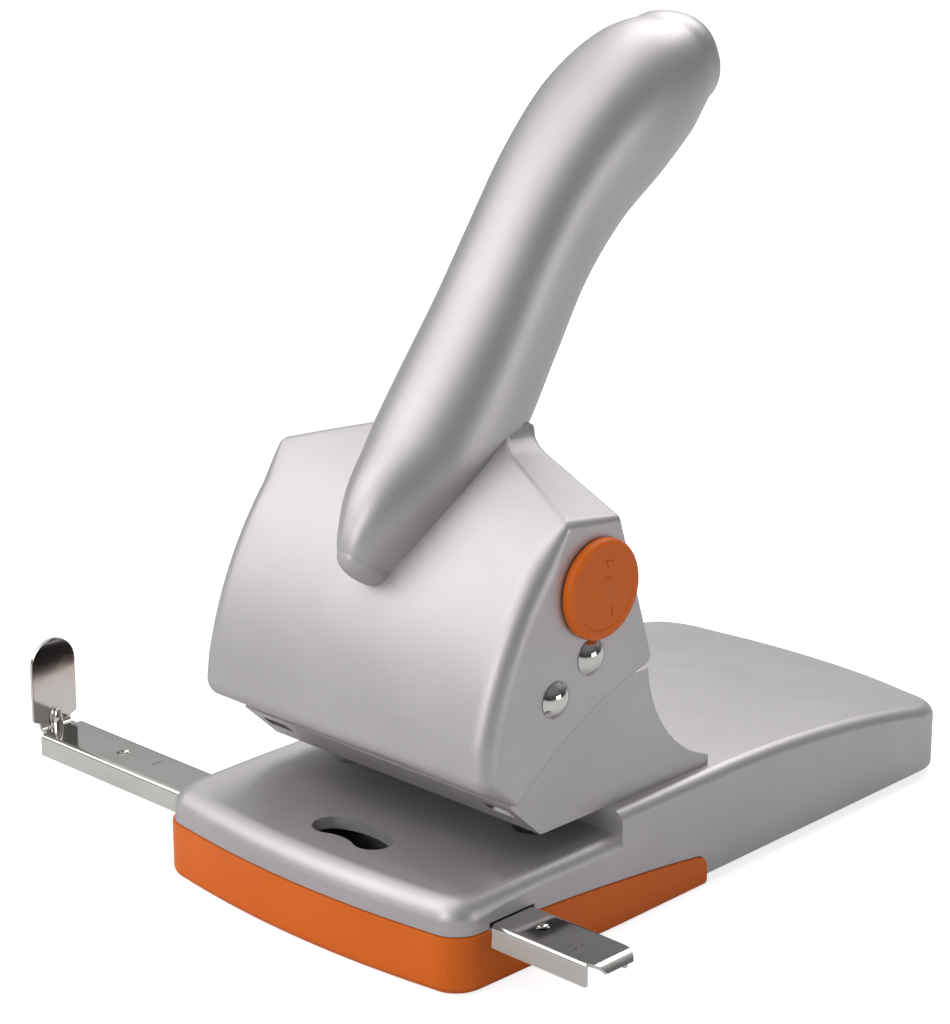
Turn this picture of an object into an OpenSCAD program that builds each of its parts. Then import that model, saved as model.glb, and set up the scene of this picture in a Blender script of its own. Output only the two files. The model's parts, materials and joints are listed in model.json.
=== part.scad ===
// Heavy two-hole office punch. A cast base with a paper platform carries a folded steel frame.
// A cast lever turns on the frame and its crank shaft drives two round punches through the paper
// slot. A channel-section paper guide slides through the base, and a chip tray closes it below.
// Millimetres: X to the right as seen from the front, Y to the rear, Z up.
// Origin: on the symmetry plane, below the line of the two punches, on the resting surface.

/* [Punching] */
// Distance between the centres of the two holes
hole_pitch = 80; // [76:1:96]
// Diameter of a punched hole
hole_d = 5.5; // [4.5:0.1:6.6]
// Height of the paper slot
paper_gap = 8; // [6:0.2:10]
// Distance from the hole centres to the paper stop
margin = 12; // [10:0.5:15]
// Depth of the punch tips below the platform at the end of the stroke
tip_pass = 5; // [3:0.5:6]

/* [Base] */
// Reach of the base in front of the hole line
base_front = 64.2; // [58:0.2:80]
// Reach of the base behind the hole line
base_rear = 194; // [146:1:215]
// Width of the base at its rear end
rear_w = 125.4; // [100:0.2:130]
// Ledge of the base outside each side plate of the frame
base_ledge = 7; // [6:0.5:12]
// Height of the platform that the paper lies on
platform_z = 29.4; // [28:0.2:35.4]
// Wall of the base casting
base_wall = 3.5; // [2.5:0.25:4.25]
// Thickness of the platform
platform_t = 4; // [3:0.25:4.5]
// Height of the rear rim of the base above the resting surface
rim_z = 3.6; // [3:0.2:5]
// Radius of the front corners of the base in plan
front_corner_r = 10; // [6:1:14]
// Radius of the rear corners of the base in plan
rear_corner_r = 18; // [8:1:20]

/* [Frame] */
// Outer width of the frame
frame_w = 117; // [112:1:145]
// Thickness of the frame sheet
frame_t = 3; // [2:0.25:3.5]
// Reach of the frame's flat bottom in front of the hole line
frame_front = 17; // [14:1:20]
// Reach of the frame behind the hole line
frame_rear = 60; // [56:1:70]
// Length of the sloping paper lead-in
lead_len = 18.3; // [12:0.1:18.6]
// Slope of the paper lead-in
lead_a = 43; // [40:1:46]

/* [Lever] */
// Height of the lever's pivot above the underside of the frame
pivot_rise = 43.6; // [42:0.2:52]
// Distance from the hole line forward to the lever's pivot
pivot_fwd = 15; // [14:0.5:17]
// Distance from the pivot to the crank shaft
crank_r = 17.9; // [16:0.1:19]
// Angle of the crank shaft above the horizontal through the pivot, at rest
crank_a = 31.7; // [28:0.1:35]
// Diameter of the pivot shaft and the crank shaft
shaft_d = 8; // [6:0.5:8.5]
// Wall of the lever casting
lever_wall = 3; // [2:0.25:3.75]
// Slope of the lever's shoulders
shoulder_a = 21.5; // [18:0.5:32]
// Diameter of the domed shaft ends
dome_d = 11.5; // [9.5:0.5:12]

/* [Lock] */
// Diameter of the lock knob
knob_d = 31.5; // [26:0.5:32]
// Thickness of the lock knob
knob_t = 4.2; // [3:0.1:6]
// Distance from the pivot to the knob's centre, to the rear
knob_y = 17.5; // [17:0.5:18.5]
// Distance from the pivot to the knob's centre, upwards
knob_z = 30.6; // [30:0.2:33]

/* [Paper guide] */
// Width of the guide strip
guide_w = 18.4; // [14:0.2:19]
// Height of the guide's channel section
guide_h = 7.5; // [5:0.5:9]
// Thickness of the guide sheet
guide_t = 1.2; // [0.8:0.1:1.6]
// Distance from the middle of the punch to the guide stop (half the length of a 297 sheet)
stop_x = 148.5; // [130:0.5:178]
// Distance from the middle of the punch to the detent hole on the right
detent_hole_x = 77.7; // [70:0.1:88]
// Reach of the guide past the middle of the punch on the other side
guide_reach = 106; // [90:1:128]
// Height of the guide stop above the strip
stop_h = 31; // [20:1:38]

/* [Chip tray] */
// Length of the tray behind the hole line
tray_rear = 52.7; // [45:0.1:58]
// Height of the tray's front edge
seam_front = 18.8; // [16:0.2:19.4]
// Wall of the chip tray
tray_wall = 2.2; // [1.6:0.2:3]

/* [Hidden] */
// Clearances
press_clear = 0.01;
run_clear = 0.05;
slide_clear = 0.4;
seam_gap = 0.3;
side_gap = 0.8;
screw_clear = 0.25;

// Levels and widths that follow from the driving sizes
deck_z = platform_z + paper_gap;
base_w = frame_w + 2*base_ledge;
plate_x = frame_w/2 - frame_t;
lever_in = frame_w/2 + side_gap;
lever_out = lever_in + lever_wall;
pivot_y = -pivot_fwd;
pivot_z = deck_z + pivot_rise;
crank_y = pivot_y + crank_r*cos(crank_a);
crank_z = pivot_z + crank_r*sin(crank_a);
shaft_r = shaft_d/2;

// Punch stroke, and the lever angle that gives it
punch_lift = 2;
stroke = punch_lift + paper_gap + tip_pass;
lever_turn = crank_a + asin((stroke - crank_r*sin(crank_a))/crank_r);

// Base shape
front_bow = 4.2;
rear_bow = 8;
hump_y = frame_rear;
hump_r = 540;
deck_t = 4;
tray_proud = 0.9;
tray_floor = 2.5;
tray_end_r = 5;
seam_start = -60;
seam_r = 767;

// Dies
die_r = 7;
die_t = 6;
die_boss_r = 10;
die_drop = 2;
die_clear = 0.1;

// Window over the guide scale
window_at = [4.2, -61.2];
window_r = 20.3;
window_half = 6.3;
window_a = 26.3;

// Guide position in the base
guide_top = platform_z - 9.2;
guide_y0 = -45.8;
guide_y1 = guide_y0 + guide_w;
guide_bottom = guide_top - guide_h;
rib_t = 2.5;
strap_t = 1.4;
strap_half = 30;
strap_screw_x = 24;
strap_screw_y = [guide_y0 - 8.5, guide_y1 + 8];
boss_r = 3.8;
strap_screw_r = 1.5;
detent_x = -42;
detent_screw_r = 1.25;
pad_x = 54;

// Frame details
frame_screw_x = 42;
frame_screw_y = [24, 50];
frame_screw_r = 2.5;
ear_r = 12;
slot_clear = 0.5;
slot_rim = 3.5;
lock_r = 30;
nose_len = 8.7;
nose_half = 2.5;
hub_r = 4.7;
window_lo = 43;
window_hi = 54;

// Punches, their guides and springs
guide_bush_r = 6;
guide_flange_r = min(guide_bush_r + 2, plate_x - hole_pitch/2 - seam_gap);
guide_flange_t = 2.5;
guide_bush_len = 8.6;
collar_r = 7;
collar_t = 4;
collar_z = crank_z - 16.4;
head_half = 6.5;
pin_play = 0.4;
spring_r = 5.3;
wire_r = 0.7;
spring_turns = 7;

// Rear cover, posts and feet
cover_t = 1.5;
cover_y0 = tray_rear + 4.5;
post_r = 5;
cover_screw_r = 2;
cover_posts = [[-40, cover_y0 + 14], [40, cover_y0 + 14], [0, base_rear - 18]];
foot_r = 7;
foot_stem_r = 3;
foot_at = [[-46, base_rear - 26], [46, base_rear - 26]];

// Handle: centre in Y and Z from the pivot, half width, half depth and narrowing to the front
handle_at = [[-15.8, 31, 7.4, 12.3, 0.1], [-12.2, 36.8, 10.6, 15, 0.14],
             [-4.3, 46.4, 15.1, 17.8, 0.17], [9, 57.2, 21.8, 19.8, 0.17],
             [24, 75.5, 21.8, 20.2, 0.03], [38.5, 95, 19.3, 18.4, 0], [53, 116, 19.2, 18.5, 0],
             [69, 134.8, 21, 20.4, 0], [87, 149.8, 22.5, 22, 0], [104.5, 160.8, 20.8, 20.2, 0],
             [117.8, 166.8, 17, 16, 0]];
handle_square = 2.35;
tip_len = 14;
nose_round = 6;

// Shoulders: height at the sides, half width of the flat middle, fillet beside the handle
side_top = 49.6;
shoulder_flat = 14;
shoulder_fillet = [29, 8.5, 4.5];

$fn = 48;

// ---- Helpers ----

// Points along a circle from angle a0 to a1
function arc(c, r, a0, a1, n = 12) =
    [for (i = [0:n]) c + r*[cos(a0 + (a1 - a0)*i/n), sin(a0 + (a1 - a0)*i/n)]];

// Points along an arc from p to q that stands h proud to the right of the way from p to q
function bow(p, q, h, n = 12) =
    let (l = norm(q - p), u = (q - p)/l, v = [u.y, -u.x], r = (l*l/4 + h*h)/(2*h), a = asin(l/2/r))
    [for (i = [0:n]) let (f = -a + 2*a*i/n) (p + q)/2 + u*r*sin(f) + v*(r*cos(f) - r + h)];

// A Y-Z outline made solid along X from x0 to x1
module across(x0, x1) {
    translate([x0, 0, 0]) rotate([90, 0, 90]) linear_extrude(x1 - x0) children();
}

// A cylinder along X from x0 to x1
module bar(x0, x1, r) {
    translate([x0, 0, 0]) rotate([0, 90, 0]) cylinder(r = r, h = x1 - x0);
}

// Plan outline of the base, moved inwards by inset
function base_plan(inset) =
    let (w = base_w/2 - inset, wr = rear_w/2 - inset, rf = front_corner_r - inset,
         rr = rear_corner_r - inset, yf = -base_front + inset + front_bow,
         yr = base_rear - inset - rear_bow)
    concat(bow([rf - w, yf], [w - rf, yf], front_bow),
           arc([w - rf, yf + rf], rf, -80, 0, 8),
           [[w, margin]],
           arc([wr - rr, yr - rr], rr, 2, 82, 8),
           bow([wr - rr, yr], [rr - wr, yr], rear_bow),
           arc([rr - wr, yr - rr], rr, 98, 178, 8),
           [[-w, margin]],
           arc([rf - w, yf + rf], rf, 180, 260, 8));

// Height of the seam between base and tray, and of the top of the base behind the paper stop
function seam(y) = seam_front - pow(max(y - seam_start, 0), 2)/(2*seam_r);
function deck(y) = deck_z - pow(max(y - hump_y, 0), 2)/(2*hump_r);

// Top edge of the tray seen from the side, from the front to the rear end, grown by gap
function seam_edge(gap) =
    let (y1 = tray_rear - tray_end_r, n = 12, y0 = -base_front - 2)
    concat([for (i = [0:n]) let (y = y0 + (y1 - y0)*i/n) [y, seam(y) + gap]],
           arc([y1, seam(y1) - tray_end_r], tray_end_r + gap, 80, 0, 6));

// ---- Base ----

module base_outline() {
    n = 14;
    y1 = base_rear + 2;
    edge = seam_edge(0);
    top = [for (i = [0:n]) let (y = y1 + (hump_y - y1)*i/n) [y, deck(y)]];
    polygon(concat(edge, [[tray_rear, rim_z], [y1, rim_z]], top,
                   [[margin, deck_z], [margin, platform_z], [-base_front - 2, platform_z]]));
}

module base_hollow() {
    n = 14;
    y0 = margin + base_wall;
    y1 = base_rear + 2;
    top = [for (i = [0:n]) let (y = y1 + (y0 - y1)*i/n) [y, deck(y) - deck_t]];
    polygon(concat([[-base_front - 2, -1], [y1, -1]], top,
                   [[y0, platform_z - platform_t], [-base_front - 2, platform_z - platform_t]]));
}

module boss(x, y, r, z0, z1) {
    translate([x, y, z0]) cylinder(r = r, h = z1 - z0);
}

// Slot along an arc of radius r about the origin from angle a0 to a1, with round ends
module arc_slot(r, half, a0, a1) {
    polygon(concat(arc([0, 0], r + half, a0, a1), arc([0, 0], r - half, a1, a0)));
    for (a = [a0, a1]) rotate([0, 0, a]) translate([r, 0]) circle(r = half);
}

// The base casting, one piece in use; its two nodes meet at the paper stop
module base_casting() {
    ceiling = platform_z - platform_t;
    difference() {
        union() {
            difference() {
                intersection() {
                    linear_extrude(deck_z + 1) polygon(base_plan(0));
                    across(-base_w/2, base_w/2) base_outline();
                }
                intersection() {
                    translate([0, 0, -1]) linear_extrude(deck_z + 1) polygon(base_plan(base_wall));
                    across(-base_w/2, base_w/2) base_hollow();
                }
            }
            // Bulkhead behind the tray
            translate([-rear_w/2 + 4, tray_rear, rim_z])
                cube([rear_w - 8, base_wall, deck_z - deck_t - rim_z + 1]);
            for (s = [-1, 1]) {
                boss(s*hole_pitch/2, 0, die_boss_r, platform_z - die_t - die_drop, platform_z - 1);
                for (y = frame_screw_y) boss(s*frame_screw_x, y, post_r, deck_z - 14, deck_z - 1);
                for (y = strap_screw_y) boss(s*strap_screw_x, y, boss_r, guide_bottom - seam_gap,
                                             platform_z - 1);
                // Pads over the guide strip
                translate([s*pad_x - 4, guide_y0 + 2, guide_top + slide_clear])
                    cube([8, guide_w - 4, platform_z - 1 - guide_top - slide_clear]);
            }
            // Ribs on both sides of the guide strip
            for (y = [guide_y0 - slide_clear - rib_t, guide_y1 + slide_clear])
                translate([-base_w/2 + 2, y, guide_bottom + 1])
                    cube([base_w - 4, rib_t, platform_z - 1 - guide_bottom - 1]);
            for (p = cover_posts) boss(p.x, p.y, post_r, rim_z + cover_t, deck(p.y) - 1);
        }
        // Ribs and bosses stay above the tray and inside the walls
        for (s = [-1, 1]) {
            translate([s*base_w/2 - 6, guide_y0 - slide_clear, guide_bottom - 4])
                cube([12, guide_w + 2*slide_clear, guide_h + 4 + slide_clear]);
            boss(s*hole_pitch/2, 0, die_r + press_clear, platform_z - die_t, platform_z + 1);
            boss(s*hole_pitch/2, 0, die_r - 2.5, platform_z - die_t - die_drop - 1, platform_z);
            for (y = frame_screw_y) boss(s*frame_screw_x, y, frame_screw_r, deck_z - 12, deck_z + 1);
            for (y = strap_screw_y) boss(s*strap_screw_x, y, strap_screw_r,
                                               guide_bottom - 1, guide_bottom + 8);
        }
        boss(detent_x, guide_y0 + guide_w/2, detent_screw_r, ceiling - 1, ceiling + 2.5);
        for (p = cover_posts) boss(p.x, p.y, cover_screw_r, rim_z, rim_z + cover_t + 10);
        // Window over the guide scale
        translate([0, 0, ceiling - 1]) linear_extrude(platform_t + 2)
            translate(window_at) arc_slot(window_r, window_half, 90 - window_a, 90 + window_a);
    }
}

module base_half(y0, y1) {
    intersection() {
        base_casting();
        translate([-base_w, y0, -1]) cube([2*base_w, y1 - y0, deck_z + 2]);
    }
}

module base_platform() color("silver") base_half(-base_front - 10, margin);
module base_deck() color("silver") base_half(margin, base_rear + 10);

module bottom_cover() color("dimgray") {
    difference() {
        translate([0, 0, rim_z]) linear_extrude(cover_t) intersection() {
            polygon(base_plan(base_wall + seam_gap));
            translate([-base_w/2, cover_y0]) square([base_w, base_rear]);
        }
        for (p = cover_posts) boss(p.x, p.y, cover_screw_r + screw_clear, rim_z - 1, rim_z + cover_t + 1);
        for (p = foot_at) boss(p.x, p.y, foot_stem_r + press_clear, rim_z - 1, rim_z + cover_t + 1);
    }
}

// A pan-head screw that points along +Z, its head below z = 0
module screw(r, len, head_r, head_h) {
    cylinder(r = r, h = len);
    difference() {
        translate([0, 0, -head_h]) cylinder(r = head_r, h = head_h);
        translate([0, 0, -head_h - 0.1]) for (a = [0, 90]) rotate([0, 0, a])
            translate([-head_r*0.6, -0.5, 0]) cube([head_r*1.2, 1, head_h*0.6]);
    }
}

module cover_screws() color("gainsboro") {
    for (p = cover_posts) translate([p.x, p.y, rim_z]) screw(cover_screw_r, 10, 3.6, 2.2);
}

module rubber_feet() color("#222222") {
    for (p = foot_at) {
        boss(p.x, p.y, foot_r, 0, rim_z);
        boss(p.x, p.y, foot_stem_r, rim_z - 1, rim_z + cover_t);
        boss(p.x, p.y, foot_stem_r + 0.8, rim_z + cover_t, rim_z + cover_t + 1.5);
    }
}

module die_bush(s) color("darkgray") {
    translate([s*hole_pitch/2, 0, platform_z - die_t]) rotate_extrude() polygon([
        [hole_d/2 + 1.2, 0], [die_r, 0], [die_r, die_t], [hole_d/2 + die_clear, die_t],
        [hole_d/2 + die_clear, die_t - tip_pass + 1], [hole_d/2 + 1.2, die_t - tip_pass - 0.5]]);
}

module die_bush_left() die_bush(-1);
module die_bush_right() die_bush(1);

module guide_strap() color("lightgray") {
    y0 = strap_screw_y[0] - boss_r;
    y1 = strap_screw_y[1] + boss_r;
    difference() {
        translate([-strap_half, y0, guide_bottom - seam_gap - strap_t])
            cube([2*strap_half, y1 - y0, strap_t]);
        for (s = [-1, 1], y = strap_screw_y)
            boss(s*strap_screw_x, y, strap_screw_r + screw_clear, guide_bottom - 4, guide_bottom + 1);
        translate([0, (y0 + y1)/2, guide_bottom - 4]) cylinder(r = 6, h = 6);
    }
}

module strap_screws() color("gainsboro") {
    for (s = [-1, 1], y = strap_screw_y)
        translate([s*strap_screw_x, y, guide_bottom - seam_gap - strap_t])
            screw(strap_screw_r, 8, 2.8, 1.8);
}

// Leaf spring with a nose that clicks into the holes of the guide strip
module detent_spring() color("lightgray") {
    t = 0.6;
    top = platform_z - platform_t;
    low = guide_top + 0.1;
    x = detent_x;
    leaf = [[x - 6, top], [x + 6, top], [x + 16, low + 1.6], [x + 20, low + t], [x + 24, low + 2.4],
            [x + 24, low + 1.8], [x + 20, low], [x + 15.4, low + 1], [x + 5.6, top - t],
            [x - 6, top - t]];
    difference() {
        translate([0, guide_y0 + guide_w/2 + 4, 0]) rotate([90, 0, 0]) linear_extrude(8) polygon(leaf);
        boss(x, guide_y0 + guide_w/2, detent_screw_r + screw_clear, top - 2, top + 1);
    }
}

module detent_screw() color("gainsboro") {
    translate([detent_x, guide_y0 + guide_w/2, platform_z - platform_t - 0.6])
        screw(detent_screw_r, 3, 2.2, 1.4);
}

// ---- Frame ----

// Side plate outline about the pivot: bottom, lead-in corner, ear, lock arc with notch, rear sweep
module plate_outline() {
    down = -pivot_rise;
    lead = [pivot_fwd - frame_front - lead_len*cos(lead_a), down + lead_len*sin(lead_a)];
    knob_r = norm([knob_y, knob_z]);
    lock_dir = atan2(knob_z, knob_y) - lever_turn;
    free_r = knob_r - nose_len - 0.6;
    slot_out = min(crank_r + shaft_r + slot_clear + slot_rim, free_r);
    rear = frame_rear + pivot_fwd;
    top_y = 45.4;
    low = -3.3;
    difference() {
        polygon(concat([[pivot_fwd - frame_front, down], lead, [lead.x + 6.4, lead.y + 6.5]],
                       arc([0, 0], ear_r, 180, 100, 8),
                       arc([0, 0], slot_out, 70, 40, 6),
                       arc([0, 0], lock_r, 40, -6, 10),
                       [[top_y, low]],
                       bow([top_y, low], [rear - 4, down + 4.5], 6),
                       [[rear, down + frame_t], [rear, down]]));
        // Notch that the lock pawl drops into when the lever is down
        rotate([0, 0, lock_dir]) translate([free_r, -nose_len - 1])
            square([10, nose_len + 1 + nose_half + 0.3]);
    }
}

module side_frame() color("silver") {
    lead = [-frame_front - lead_len*cos(lead_a), deck_z + lead_len*sin(lead_a)];
    n = [sin(lead_a), cos(lead_a)]*frame_t;
    difference() {
        union() {
            for (x = [-frame_w/2, plate_x])
                translate([0, pivot_y, pivot_z]) across(x, x + frame_t) plate_outline();
            translate([-frame_w/2, -frame_front, deck_z])
                cube([frame_w, frame_front + frame_rear, frame_t]);
            across(-frame_w/2, frame_w/2) polygon([[-frame_front, deck_z], lead, lead + n,
                [-frame_front + frame_t*tan(lead_a/2), deck_z + frame_t]]);
        }
        translate([-frame_w, pivot_y, pivot_z]) bar(0, 2*frame_w, shaft_r + run_clear);
        translate([0, pivot_y, pivot_z]) for (x = [-frame_w/2 - 1, plate_x - 1])
            across(x, x + frame_t + 2)
                arc_slot(crank_r, shaft_r + slot_clear, crank_a - lever_turn - 1, crank_a);
        for (s = [-1, 1]) {
            boss(s*hole_pitch/2, 0, guide_bush_r + press_clear, deck_z - 1, deck_z + frame_t + 1);
            for (y = frame_screw_y)
                boss(s*frame_screw_x, y, frame_screw_r + screw_clear, deck_z - 1, deck_z + frame_t + 1);
            // Openings in the lead-in
            translate([s*(window_lo + window_hi)/2 - (window_hi - window_lo)/2, lead.x - 5, deck_z + 6])
                cube([window_hi - window_lo, 20, lead.y - deck_z - 9]);
        }
    }
}

module frame_screws() color("gainsboro") {
    for (s = [-1, 1], y = frame_screw_y) translate([s*frame_screw_x, y, deck_z + frame_t])
        rotate([180, 0, 0]) screw(frame_screw_r, 13, 4.6, 3);
}

// ---- Punches ----

module punch_guide(s) color("darkgray") {
    translate([s*hole_pitch/2, 0, deck_z]) difference() {
        union() {
            cylinder(r = guide_bush_r, h = frame_t);
            translate([0, 0, frame_t]) cylinder(r = guide_flange_r, h = guide_flange_t);
            cylinder(r = spring_r - wire_r - 0.5, h = guide_bush_len);
        }
        translate([0, 0, -1]) cylinder(r = hole_d/2 + run_clear, h = guide_bush_len + 2);
    }
}

module punch_guide_left() punch_guide(-1);
module punch_guide_right() punch_guide(1);

// Rise of the coil from 0 to 1 along its length t, flat over the first and the last turn
function coil_rise(t) =
    let (end = 1/spring_turns) min(max((t - end)/(1 - 2*end), 0), 1);

// Extra lift that closes the end turns on their neighbours
function coil_lift(t) =
    let (end = 1/spring_turns)
    2*wire_r*(t < end ? t/end : t > 1 - end ? (t - 1)/end : 1 - 2*coil_rise(t));

// Coil spring between the guide's flange and the punch's collar
module return_spring(s) color("lightgray") {
    wire = wire_r*0.96;
    z0 = deck_z + frame_t + guide_flange_t + wire_r + 0.03;
    z1 = collar_z - wire_r - 0.03;
    per = 16;
    n = spring_turns*per;
    m = 8;
    pts = [for (i = [0:n], j = [0:m - 1])
        let (t = i/n, a = 360*i/per, b = 360*j/m, r = spring_r + wire*cos(b))
        [r*cos(a), r*sin(a), z0 + (z1 - z0)*coil_rise(t) + coil_lift(t) + wire*sin(b)]];
    faces = concat([[for (j = [0:m - 1]) j]],
        [for (i = [0:n - 1], j = [0:m - 1])
            let (k = (j + 1)%m, a = i*m + j, b = i*m + k) each [[a, a + m, b + m], [a, b + m, b]]],
        [[for (j = [m - 1:-1:0]) n*m + j]]);
    translate([s*hole_pitch/2, 0, 0]) polyhedron(pts, faces);
}

module return_spring_left() return_spring(-1);
module return_spring_right() return_spring(1);

module punch(s) color("gray") {
    tip = deck_z + punch_lift;
    slot_r = shaft_r + pin_play;
    swing = crank_r*(1 - cos(crank_a));
    y0 = crank_y - pin_play;
    y1 = crank_y + swing + pin_play;
    top = crank_z + slot_r + 4;
    translate([s*hole_pitch/2, 0, 0]) difference() {
        union() {
            boss(0, 0, hole_d/2, tip, collar_z + 1);
            boss(0, 0, collar_r, collar_z, collar_z + collar_t);
            translate([-head_half, y0 - slot_r - 3.5, collar_z + collar_t])
                cube([2*head_half, y1 - y0 + 2*slot_r + 7, top - collar_z - collar_t]);
        }
        // Slot for the crank shaft, long in Y because the shaft moves on an arc
        translate([0, 0, crank_z]) for (y = [y0, y1]) translate([0, y, 0]) bar(-10, 10, slot_r);
        translate([-10, y0, crank_z - slot_r]) cube([20, y1 - y0, 2*slot_r]);
        // Hollow-ground cutting edge
        translate([0, 0, tip - hole_d]) bar(-10, 10, hole_d*1.12);
    }
}

module punch_left() punch(-1);
module punch_right() punch(1);

// ---- Lever ----

// Head outline about the pivot
module head_outline() {
    polygon(concat(bow([-30.7, -12.9], [8.9, 49.1], -8, 14),
                   [[20, 65.5], [27, 76], [36, 76], [33, 65.5], [28.1, 50.1]],
                   [[44.2, 2.2]], arc([42, 0.8], 2, 0, -70, 4),
                   bow([41.1, -2.4], [-15.6, -29.6], 4.6), [[-24, -25], [-28.6, -20.8]]));
}

module head_hollow() {
    offset(delta = -lever_wall) head_outline();
    polygon([[-14.2, -40], [60, -40], [60, 36], [16, 36], [-14.2, -22]]);
}

// Height of the shoulders at x, with a concave fillet up to the handle of the given height
function shoulder(x, w, drop, fillet) =
    let (s = min(max((shoulder_fillet[0] - x)/shoulder_fillet[1], 0), 1))
    side_top - drop + (w - max(x, shoulder_flat))*tan(shoulder_a) + fillet*(1 - sqrt(1 - s*s));

// Shoulders that rise from both sides towards the handle
module gable(w, drop, fillet) {
    xs = concat([w], [for (i = [0:6]) shoulder_fillet[0] - shoulder_fillet[1]*sin(15*i)],
                [shoulder_flat]);
    rotate([90, 0, 0]) translate([0, 0, -80]) linear_extrude(160) polygon(concat(
        [[-w, -40], [w, -40]],
        [for (x = xs) [x, shoulder(x, w, drop, fillet)]],
        [for (i = [len(xs) - 1:-1:0]) [-xs[i], shoulder(xs[i], w, drop, fillet)]]));
}

// Catmull-Rom blend of the handle stations at t, counted in stations
function blend(t) =
    let (n = len(handle_at) - 1, i = min(floor(t), n - 1), f = t - i,
         p0 = handle_at[max(i - 1, 0)], p1 = handle_at[i], p2 = handle_at[i + 1],
         p3 = handle_at[min(i + 2, n)])
    0.5*(2*p1 + f*(p2 - p0) + f*f*(2*p0 - 5*p1 + 4*p2 - p3) + f*f*f*(3*p1 - p0 - 3*p2 + p3));

function power(v, e) = sign(v)*pow(abs(v), e);

// Closed ring of the handle at station s with tangent t, moved by go and scaled by k, with m points
function ring(s, t, go, k, m) = [for (j = [0:m - 1]) let (f = 360*j/m,
    v = power(sin(f), 2/handle_square), d = k*s[3]*v,
    x = k*s[2]*power(cos(f), 2/handle_square)*(1 - s[4]*v))
    [x, s[0] + go*t.x - d*t.y, s[1] + go*t.y + d*t.x]];

// Direction of the handle's centre line at station t
function way(t) =
    let (q = blend(min(t + 0.1, len(handle_at) - 1)), p = blend(max(t - 0.1, 0)),
         d = [q[0] - p[0], q[1] - p[1]]) d/norm(d);

module handle() {
    m = 32;
    per = 4;
    stations = len(handle_at) - 1;
    caps = 5;
    rings = concat(
        [for (i = [caps:-1:1]) let (f = 86*i/caps)
            ring(handle_at[0], way(0), -nose_round*sin(f), cos(f), m)],
        [for (i = [0:stations*per]) ring(blend(i/per), way(i/per), 0, 1, m)],
        [for (i = [1:caps]) let (f = 86*i/caps)
            ring(handle_at[stations], way(stations), tip_len*sin(f), cos(f), m)]);
    pts = [for (r = rings, p = r) p];
    last = len(rings) - 1;
    faces = concat([[for (j = [m - 1:-1:0]) j]],
        [for (i = [0:last - 1], j = [0:m - 1])
            let (k = (j + 1)%m, a = i*m + j, b = i*m + k) each [[a, b, b + m], [a, b + m, a + m]]],
        [[for (j = [0:m - 1]) last*m + j]]);
    polyhedron(pts, faces);
}

module lever() color("silver") {
    translate([0, pivot_y, pivot_z]) difference() {
        union() {
            intersection() {
                across(-lever_out, lever_out) head_outline();
                gable(lever_out, 0, shoulder_fillet[2]);
            }
            handle();
        }
        intersection() {
            across(-lever_in, lever_in) head_hollow();
            gable(lever_in, lever_wall + 1, 0);
        }
        bar(-lever_out - 1, lever_out + 1, shaft_r + press_clear);
        translate([0, crank_y - pivot_y, crank_z - pivot_z])
            bar(-lever_out - 1, lever_out + 1, shaft_r + press_clear);
        translate([0, knob_y, knob_z]) bar(0, lever_out + 1, shaft_r + run_clear);
        // Cut-outs near both ends of the front lip
        for (s = [-1, 1]) translate([s*(window_lo + window_hi)/2, -20, -24]) rotate([36, 0, 0])
            cylinder(r = (window_hi - window_lo)/2, h = 12, center = true);
    }
}

// Domed head that stands outwards from x, s = 1 to the right and -1 to the left
module dome(x, s) {
    h = 3;
    r = dome_d/2;
    ball = (r*r + h*h)/(2*h);
    translate([x, 0, 0]) rotate([0, s*90, 0])
        rotate_extrude($fn = 64) polygon(concat([[0, 0]], arc([0, h - ball], ball, acos(r/ball), 90, 10)));
}

// A shaft with a domed head on the right and a threaded hole in its left end
module shaft(y, z) color("gainsboro") {
    translate([0, y, z]) {
        difference() {
            bar(-lever_out, lever_out, shaft_r);
            bar(-lever_out - 1, -lever_out + 12, shaft_r*0.6);
        }
        dome(lever_out, 1);
    }
}

module pivot_shaft() shaft(pivot_y, pivot_z);
module crank_shaft() shaft(crank_y, crank_z);

module shaft_screws() color("gainsboro") {
    for (p = [[pivot_y, pivot_z], [crank_y, crank_z]]) translate([0, p.x, p.y]) {
        dome(-lever_out, -1);
        bar(-lever_out, -lever_out + 10, shaft_r*0.6);
    }
}

module pivot_washers() color("ivory") {
    for (s = [-1, 1]) translate([s*(lever_in - 0.3) - 0.3, pivot_y, pivot_z]) difference() {
        bar(0, 0.6, shaft_r + 4);
        bar(-1, 2, shaft_r + press_clear);
    }
}

// ---- Lock ----

module lock_knob() color("darkorange") {
    r = knob_d/2;
    translate([lever_out + seam_gap, pivot_y + knob_y, pivot_z + knob_z]) difference() {
        rotate([0, 90, 0]) rotate_extrude($fn = 96) polygon(concat(
            [[0, 0], [r, 0]], arc([r - 1.8, knob_t - 1.8], 1.8, 0, 90, 8),
            [[3.6, knob_t - 0.2], [2.2, knob_t + 0.4], [0, knob_t + 0.6]]));
        bar(-1, knob_t - 1.2, shaft_r*0.7);
    }
}

module lock_spindle() color("gainsboro") {
    translate([0, pivot_y + knob_y, pivot_z + knob_z]) {
        bar(lever_in, lever_out + seam_gap, shaft_r);
        bar(lever_out, lever_out + seam_gap + knob_t - 1.2, shaft_r*0.7);
        bar(plate_x - 2.5, lever_in, 3);
    }
}

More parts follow.
